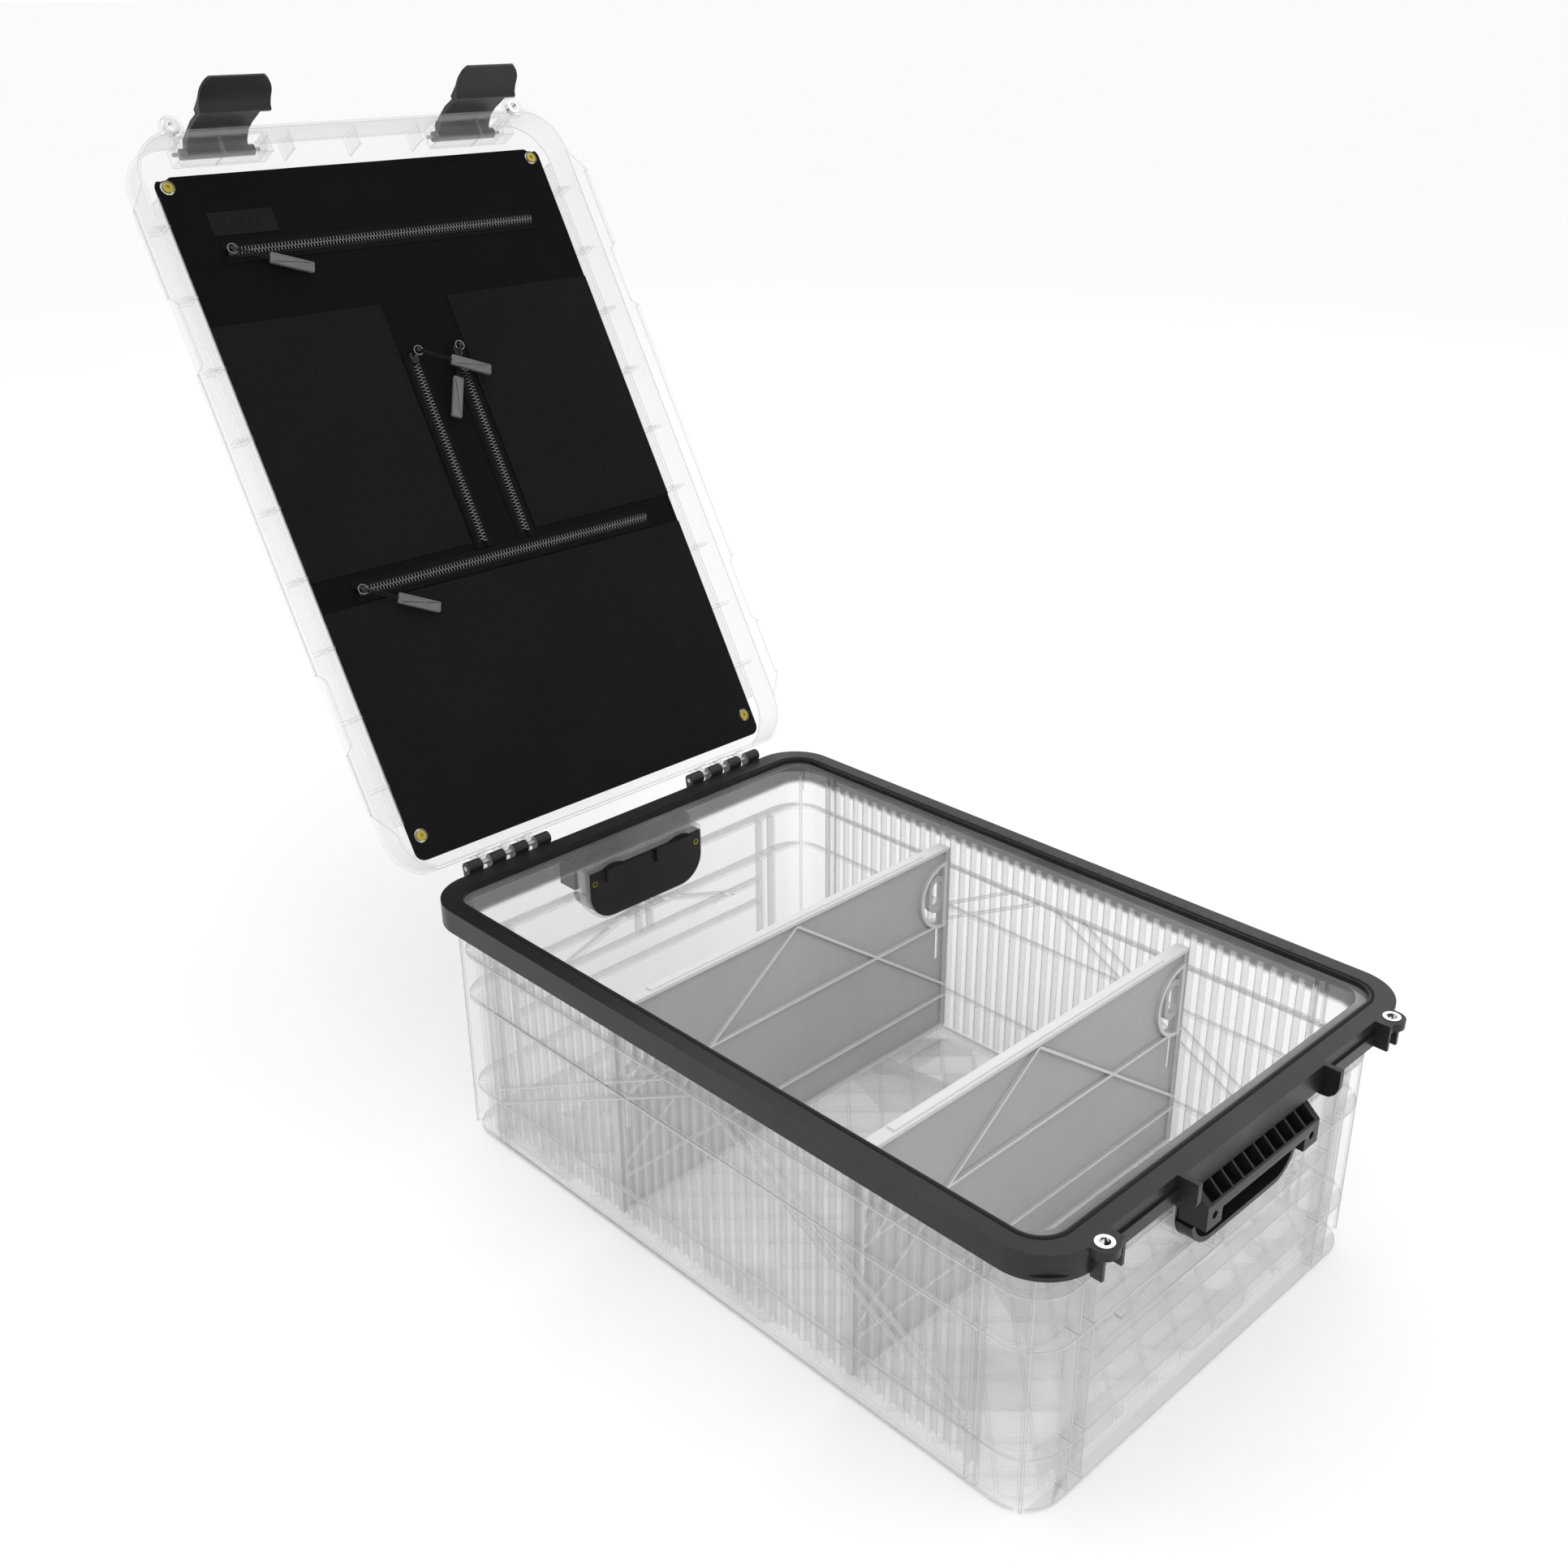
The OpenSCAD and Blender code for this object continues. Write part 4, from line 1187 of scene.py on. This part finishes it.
@dataclass
class Zip:
    """One zip with its slider and pull, between two closed-lid points in millimetres."""

    finishes: Finishes
    name: str
    start: Point
    end: Point
    pull_turn: float
    pull_depth: float
    tape_width: float = 17.0
    tooth_pitch: float = 2.9
    tooth_width: float = 6.6
    tape_over: float = 3.0
    thread_pitch: float = 2.0
    thread_y: float = 3.9
    post_foot: float = 3.4
    post_radius: float = 1.2
    ring_radius: float = 3.9
    ring_wire: float = 0.45
    ring_drop: float = 0.9
    tag_start: float = 30.0
    tag_size: tuple[float, float, float] = (36.0, 8.6, 2.6)

    @property
    def place_name(self) -> str:
        """Returns the zip's place on the panel, which its pieces' names end with."""
        return self.name.split("_")[1]

    @property
    def ring_level(self) -> float:
        """Returns the height of the ring, the cord and the tag."""
        return self.pull_depth - self.ring_drop

    def build(self) -> None:
        """Builds the tape, slider, pull cord and tag."""
        self._tape()
        self._slider()
        self._cord()
        self._tag()

    def _frame(self) -> tuple[Matrix, float]:
        """Returns the transform, in millimetres, from the zip's own line to the organiser's plane, and its length."""
        a, b = Vector(on_panel(*self.start)), Vector(on_panel(*self.end))
        run = b - a
        turn = Matrix.Rotation(math.atan2(run.y, run.x), 4, "Z")
        return Matrix.Translation(Vector((a.x, a.y, 0.0))) @ turn, run.length

    def _place(self, mesh: bmesh.types.BMesh) -> bmesh.types.BMesh:
        """Moves a mesh from the zip's own line, in millimetres, to its place and returns it."""
        own, _ = self._frame()
        map_by_place(mesh, 1.0)
        bmesh.ops.transform(mesh, matrix=panel_matrix() @ Matrix.Scale(MM, 4) @ own, verts=mesh.verts)
        return mesh

    def _tape(self) -> None:
        """Builds the woven tape, its two rows of teeth and their threads."""
        _, length = self._frame()
        mesh = bmesh.new()
        for side in (-1, 1):
            self._half_tape(mesh, length, side)
        count = int(length / self.tooth_pitch)
        for index in range(count):
            for side in (-1, 1):
                self._tooth(mesh, (index + (0.5 if side > 0 else 0.0)) * self.tooth_pitch + 1.5, side)
        for side in (-1, 1):
            for index in range(int(length / self.thread_pitch)):
                place = Matrix.Translation(Vector((1.0 + index * self.thread_pitch, side * self.thread_y, 1.0)))
                made = bmesh.ops.create_icosphere(
                    mesh, subdivisions=1, radius=0.5, matrix=place @ Matrix.Diagonal((1.25, 0.55, 0.6, 1.0))
                )
                paint(made["verts"], 2)
        new_piece(
            f"{self.name}_tape", self._place(mesh), "lid",
            [self.finishes.tape, self.finishes.teeth, self.finishes.light_thread], [self.name], 35.0,
        )

    def _half_tape(self, mesh: bmesh.types.BMesh, length: float, side: int) -> None:
        """Adds one side's tape, which rises to a bead under the teeth.

        Args:
            mesh: The mesh that takes it.
            length: The zip's length.
            side: -1 or 1.
        """
        edge = self.tape_width / 2
        bead = [(4.8, 0.75), (3.6, 0.9), (2.9, 1.3), (2.2, 1.4), (1.6, 1.1), (1.4, 0.2)]
        profile = [(edge, 0.1), (edge, 0.7), *bead]
        verts = [mesh.verts.new((-self.tape_over, side * y, z)) for y, z in profile]
        edges = [mesh.edges.new((a, b)) for a, b in zip(verts, verts[1:])]
        edges.append(mesh.edges.new((verts[-1], verts[0])))
        face = bmesh.ops.contextual_create(mesh, geom=edges)["faces"]
        made = bmesh.ops.extrude_face_region(mesh, geom=face)["geom"]
        far = [v for v in made if isinstance(v, bmesh.types.BMVert)]
        bmesh.ops.translate(mesh, vec=Vector((length + 2 * self.tape_over, 0, 0)), verts=far)
        own = {f for v in verts + far for f in v.link_faces}
        bmesh.ops.recalc_face_normals(mesh, faces=list(own))

    def _tooth(self, mesh: bmesh.types.BMesh, x: float, side: int) -> None:
        """Adds one tapered tooth.

        Args:
            mesh: The mesh that takes it.
            x: The place along the zip.
            side: -1 or 1.
        """
        reach = self.tooth_width / 2 + 0.5
        verts = add_block(mesh, (x, side * (reach / 2 - 0.5), 1.35), (1.05, reach, 1.5))
        for vert in verts:
            if vert.co.z > 1.4:
                vert.co.x = x + (vert.co.x - x) * 0.62
                vert.co.y *= 0.9
        paint(verts, 1)

    def _slider(self) -> None:
        """Builds the slider's body, bridge and the post that carries the ring."""
        mesh = bmesh.new()
        body = add_block(mesh, (3.2, 0, 3.4), (9.5, 8.4, 1.3))
        for vert in body:
            if vert.co.x > 3.2:
                vert.co.y *= 0.62
        round_edges(mesh, edges_at(body), 0.9, 3)
        for side in (-1, 1):
            flange = add_block(mesh, (3.0, side * 3.5, 2.4), (7.0, 0.9, 2.0))
            round_edges(mesh, edges_at(flange), 0.25, 2)
        self._tube_arc(mesh, Vector((2.2, 0, 3.6)), 3.0, 0.75, "Y", 200.0, -10.0)
        bmesh.ops.create_cone(
            mesh, cap_ends=True, segments=20, radius1=self.post_radius, radius2=self.post_radius,
            depth=self.pull_depth - self.post_foot,
            matrix=Matrix.Translation(Vector((0, 0, (self.pull_depth + self.post_foot) / 2))),
        )
        head = Matrix.Translation(Vector((0, 0, self.pull_depth + 0.4)))
        bmesh.ops.create_uvsphere(mesh, u_segments=16, v_segments=10, radius=1.0,
                                  matrix=head @ Matrix.Diagonal((1.9, 1.9, 0.8, 1.0)))
        bmesh.ops.recalc_face_normals(mesh, faces=mesh.faces)
        new_piece(
            f"slider_{self.place_name}_metal", self._place(mesh), f"zip_slider_{self.place_name}",
            [self.finishes.black_metal], [f"slider_{self.place_name}"], 40.0,
        )

    @staticmethod
    def _tube_arc(
        mesh: bmesh.types.BMesh, centre: Vector, radius: float, wire: float, axis: str, sweep: float, start: float
    ) -> None:
        """Adds a bent round wire.

        Args:
            mesh: The mesh that takes it.
            centre: The bend's centre.
            radius: The bend's radius.
            wire: The wire's radius.
            axis: The axis that it bends about, "Y" or "Z".
            sweep: The angle that it covers, in degrees; 360 closes it.
            start: The angle where it starts, in degrees.
        """
        spin_axis = Vector((0, 1, 0)) if axis == "Y" else Vector((0, 0, 1))
        stand = Matrix.Rotation(math.radians(90), 4, "X") if axis == "Z" else Matrix.Identity(4)
        begin = Matrix.Rotation(math.radians(start), 4, spin_axis)
        place = Matrix.Translation(centre) @ begin @ Matrix.Translation(Vector((radius, 0, 0))) @ stand
        ring = bmesh.ops.create_circle(mesh, cap_ends=False, segments=10, radius=wire, matrix=place)["verts"]
        edges = edges_at(ring)
        full = sweep >= 360.0
        before = set(mesh.faces)
        bmesh.ops.spin(
            mesh, geom=ring + edges, cent=centre, axis=spin_axis, angle=math.radians(sweep),
            steps=28, use_merge=full, use_duplicate=False,
        )
        if not full:
            open_edges = [e for e in mesh.edges if e.is_boundary and len(e.link_faces) == 1]
            bmesh.ops.holes_fill(mesh, edges=open_edges, sides=12)
        made = [f for f in mesh.faces if f not in before]
        bmesh.ops.recalc_face_normals(mesh, faces=made)

    def _pull_matrix(self) -> Matrix:
        """Returns the transform from the pull's own line to the zip's line, in millimetres."""
        own, _ = self._frame()
        turned = Matrix.Translation(Vector((*on_panel(*self.start), 0.0))) @ Matrix.Rotation(
            math.radians(-self.pull_turn), 4, "Z"
        )
        return own.inverted() @ turned

    def _cord(self) -> None:
        """Builds the wire ring and the doubled cord that runs to the tag."""
        mesh = bmesh.new()
        self._tube_arc(
            mesh, Vector((0.4, 0, self.ring_level)), self.ring_radius, self.ring_wire, "Z", 300.0, 30.0
        )
        for face in mesh.faces:
            face.material_index = 1
        uv = mesh.loops.layers.uv.new("cut")
        for side in (-1, 1):
            self._strand(mesh, side, uv)
        bmesh.ops.transform(mesh, matrix=self._pull_matrix(), verts=mesh.verts)
        new_piece(
            f"pull_cord_{self.place_name}_braid", self._place(mesh), f"zip_pull_{self.place_name}",
            [self.finishes.cord, self.finishes.wire], [f"pull_cord_{self.place_name}"], 50.0,
        )

    def _strand(self, mesh: bmesh.types.BMesh, side: int, uv: bmesh.types.BMLayerItem) -> None:
        """Adds one strand of the cord as a tube along a bowed line.

        Args:
            mesh: The mesh that takes it.
            side: -1 or 1, for the strand's side of the line.
            uv: The map that the braid follows.
        """
        steps, sides, radius = 22, 8, 0.62
        level = self.ring_level
        rings = []
        for index in range(steps + 1):
            share = index / steps
            x = self.ring_radius - 0.2 + share * (self.tag_start + 3.0 - self.ring_radius)
            y = side * (0.35 + 0.75 * math.sin(math.pi * min(1.0, share * 1.05)) ** 0.8 * (1.0 - 0.3 * share))
            z = level + 0.25 * math.sin(math.pi * share) * side
            place = Matrix.Translation(Vector((x, y, z))) @ Matrix.Rotation(math.pi / 2, 4, "Y")
            made = bmesh.ops.create_circle(mesh, cap_ends=False, segments=sides, radius=radius, matrix=place)
            rings.append(made["verts"])
        for first, second in zip(rings, rings[1:]):
            edges = [
                e
                for e in edges_at(first + second)
                if all(v in first for v in e.verts) or all(v in second for v in e.verts)
            ]
            faces = bmesh.ops.bridge_loops(mesh, edges=edges)["faces"]
            for face in faces:
                for loop in face.loops:
                    flat = loop.vert.co
                    around = math.atan2(flat.z - level, flat.y) / math.tau
                    loop[uv].uv = (flat.x + 0.001, around)
        for end in (rings[0], rings[-1]):
            bmesh.ops.contextual_create(mesh, geom=end)

    def _tag(self) -> None:
        """Builds the rubber tag with a raised border and plain bars."""
        long, _, thick = self.tag_size
        mesh = bmesh.new()
        add_block(mesh, (self.tag_start + long / 2, 0, self.ring_level), self.tag_size)
        round_edges(mesh, [e for e in mesh.edges if abs(e.verts[0].co.z - e.verts[1].co.z) > 0.5], 0.9, 3)
        caps = [f for f in mesh.faces if abs(f.normal.z) > 0.9]
        bmesh.ops.inset_region(mesh, faces=caps, thickness=0.3, depth=0.18)
        caps = [f for f in mesh.faces if abs(f.normal.z) > 0.99 and f.calc_area() > long]
        bmesh.ops.inset_region(mesh, faces=caps, thickness=0.8, depth=0.0)
        bmesh.ops.inset_region(mesh, faces=caps, thickness=0.25, depth=-0.3)
        first_bar, bar_level = self.tag_start + long * 0.62, self.ring_level + thick / 2 + 0.02
        for index, size in enumerate((4.0, 2.6, 1.4)):
            bar = add_block(mesh, (first_bar + index * 3.4, 0, bar_level), (1.5, size, 0.35))
            round_edges(mesh, edges_at(bar), 0.12)
        bmesh.ops.transform(mesh, matrix=self._pull_matrix(), verts=mesh.verts)
        new_piece(
            f"pull_tag_{self.place_name}_rubber", self._place(mesh), f"zip_pull_{self.place_name}",
            [self.finishes.tag], [f"pull_tag_{self.place_name}"], 30.0,
        )


ZIPS: tuple[tuple[str, Point, Point, float, float], ...] = (
    ("zip_top", (208.0, -144.0), (208.0, 146.0), 110.5, 9.6),
    ("zip_bottom", (-72.5, -146.0), (-72.5, 147.0), 117.0, 9.6),
    ("zip_left", (105.0, -21.0), (-60.0, -21.0), 114.0, 13.4),
    ("zip_right", (105.0, 22.0), (-60.0, 22.0), 206.0, 9.6),
)


# ---------------------------------------------------------------- studio


@dataclass
class Studio:
    """The camera, the pale floor and the soft lights."""

    eye: Vector = field(default_factory=lambda: Vector((0.7132, -0.7981, 0.8263)))
    forward: Vector = field(default_factory=lambda: Vector((-0.6510, 0.6320, -0.4204)))
    right: Vector = field(default_factory=lambda: Vector((0.6991, 0.7150, -0.0077)))
    lens: float = 39.26
    sight: float = 2000.0
    floor_half: float = 400.0
    clear_layers: int = 48

    def build(self) -> None:
        """Builds the studio round the tote."""
        self._camera()
        self._floor()
        self._sky()
        self._lamp("key", (1.6, -1.2, 2.4), 1.8, 14.0)
        self._lamp("fill", (-1.8, -1.6, 1.8), 2.2, 6.0)
        self._lamp("back", (-0.4, 2.4, 2.2), 2.4, 8.0)
        scene = bpy.context.scene
        scene.view_settings.view_transform = "Standard"
        scene.view_settings.look = "None"
        scene.cycles.transparent_max_bounces = self.clear_layers

    def _camera(self) -> None:
        """Places the camera."""
        data = bpy.data.cameras.new("camera")
        data.lens = self.lens
        data.sensor_width = 36.0
        data.sensor_fit = "HORIZONTAL"
        data.clip_start, data.clip_end = 0.01, self.sight
        camera = bpy.data.objects.new("camera", data)
        bpy.context.scene.collection.objects.link(camera)
        forward = self.forward.normalized()
        right = (self.right - forward * self.right.dot(forward)).normalized()
        up = right.cross(forward)
        turn = Matrix((right, up, -forward)).transposed().to_4x4()
        camera.matrix_world = Matrix.Translation(self.eye) @ turn
        bpy.context.scene.camera = camera

    def _floor(self) -> None:
        """Lays the pale floor."""
        mesh = bmesh.new()
        bmesh.ops.create_grid(mesh, x_segments=8, y_segments=8, size=self.floor_half)
        data = bpy.data.meshes.new("floor")
        mesh.to_mesh(data)
        mesh.free()
        floor = bpy.data.objects.new("floor", data)
        floor.location.z = -0.0005
        bpy.context.scene.collection.objects.link(floor)
        desk = NodeDesk("pale_floor")
        mottle = desk.cloud(desk.place(), 3.0, 2.0)
        data.materials.append(
            desk.finish(
                {
                    "Base Color": desk.blend(mottle, grey(0.95), grey(0.97)),
                    "Roughness": 0.9,
                    "Specular IOR Level": 0.0,
                }
            )
        )

    def _sky(self) -> None:
        """Gives the room its even white light."""
        world = bpy.data.worlds.new("studio")
        world.use_nodes = True
        back = world.node_tree.nodes["Background"]
        back.inputs["Color"].default_value = (1.0, 1.0, 1.0, 1.0)
        back.inputs["Strength"].default_value = 1.0
        bpy.context.scene.world = world

    def _lamp(self, name: str, place: tuple[float, float, float], size: float, power: float) -> None:
        """Adds a soft lamp that looks at the tote.

        Args:
            name: The lamp's name.
            place: Its place.
            size: Its side.
            power: Its power, in watts.
        """
        data = bpy.data.lights.new(name, "AREA")
        data.energy = power
        data.size = size
        lamp = bpy.data.objects.new(name, data)
        lamp.location = place
        aim = Vector((0.0, 0.0, 0.25)) - Vector(place)
        lamp.rotation_euler = aim.to_track_quat("-Z", "Y").to_euler()
        bpy.context.scene.collection.objects.link(lamp)


def main() -> None:
    """Builds the studio and every sub-assembly."""
    logging.basicConfig(level=logging.INFO, format="%(message)s")
    Studio().build()
    finishes = Finishes()
    Container(finishes).build()
    Dividers(finishes).build()
    Lid(finishes).build()
    Organiser(finishes).build()
    for name, start, end, turn, depth in ZIPS:
        Zip(finishes, name, start, end, turn, depth).build()


if __name__ == "__main__":
    main()
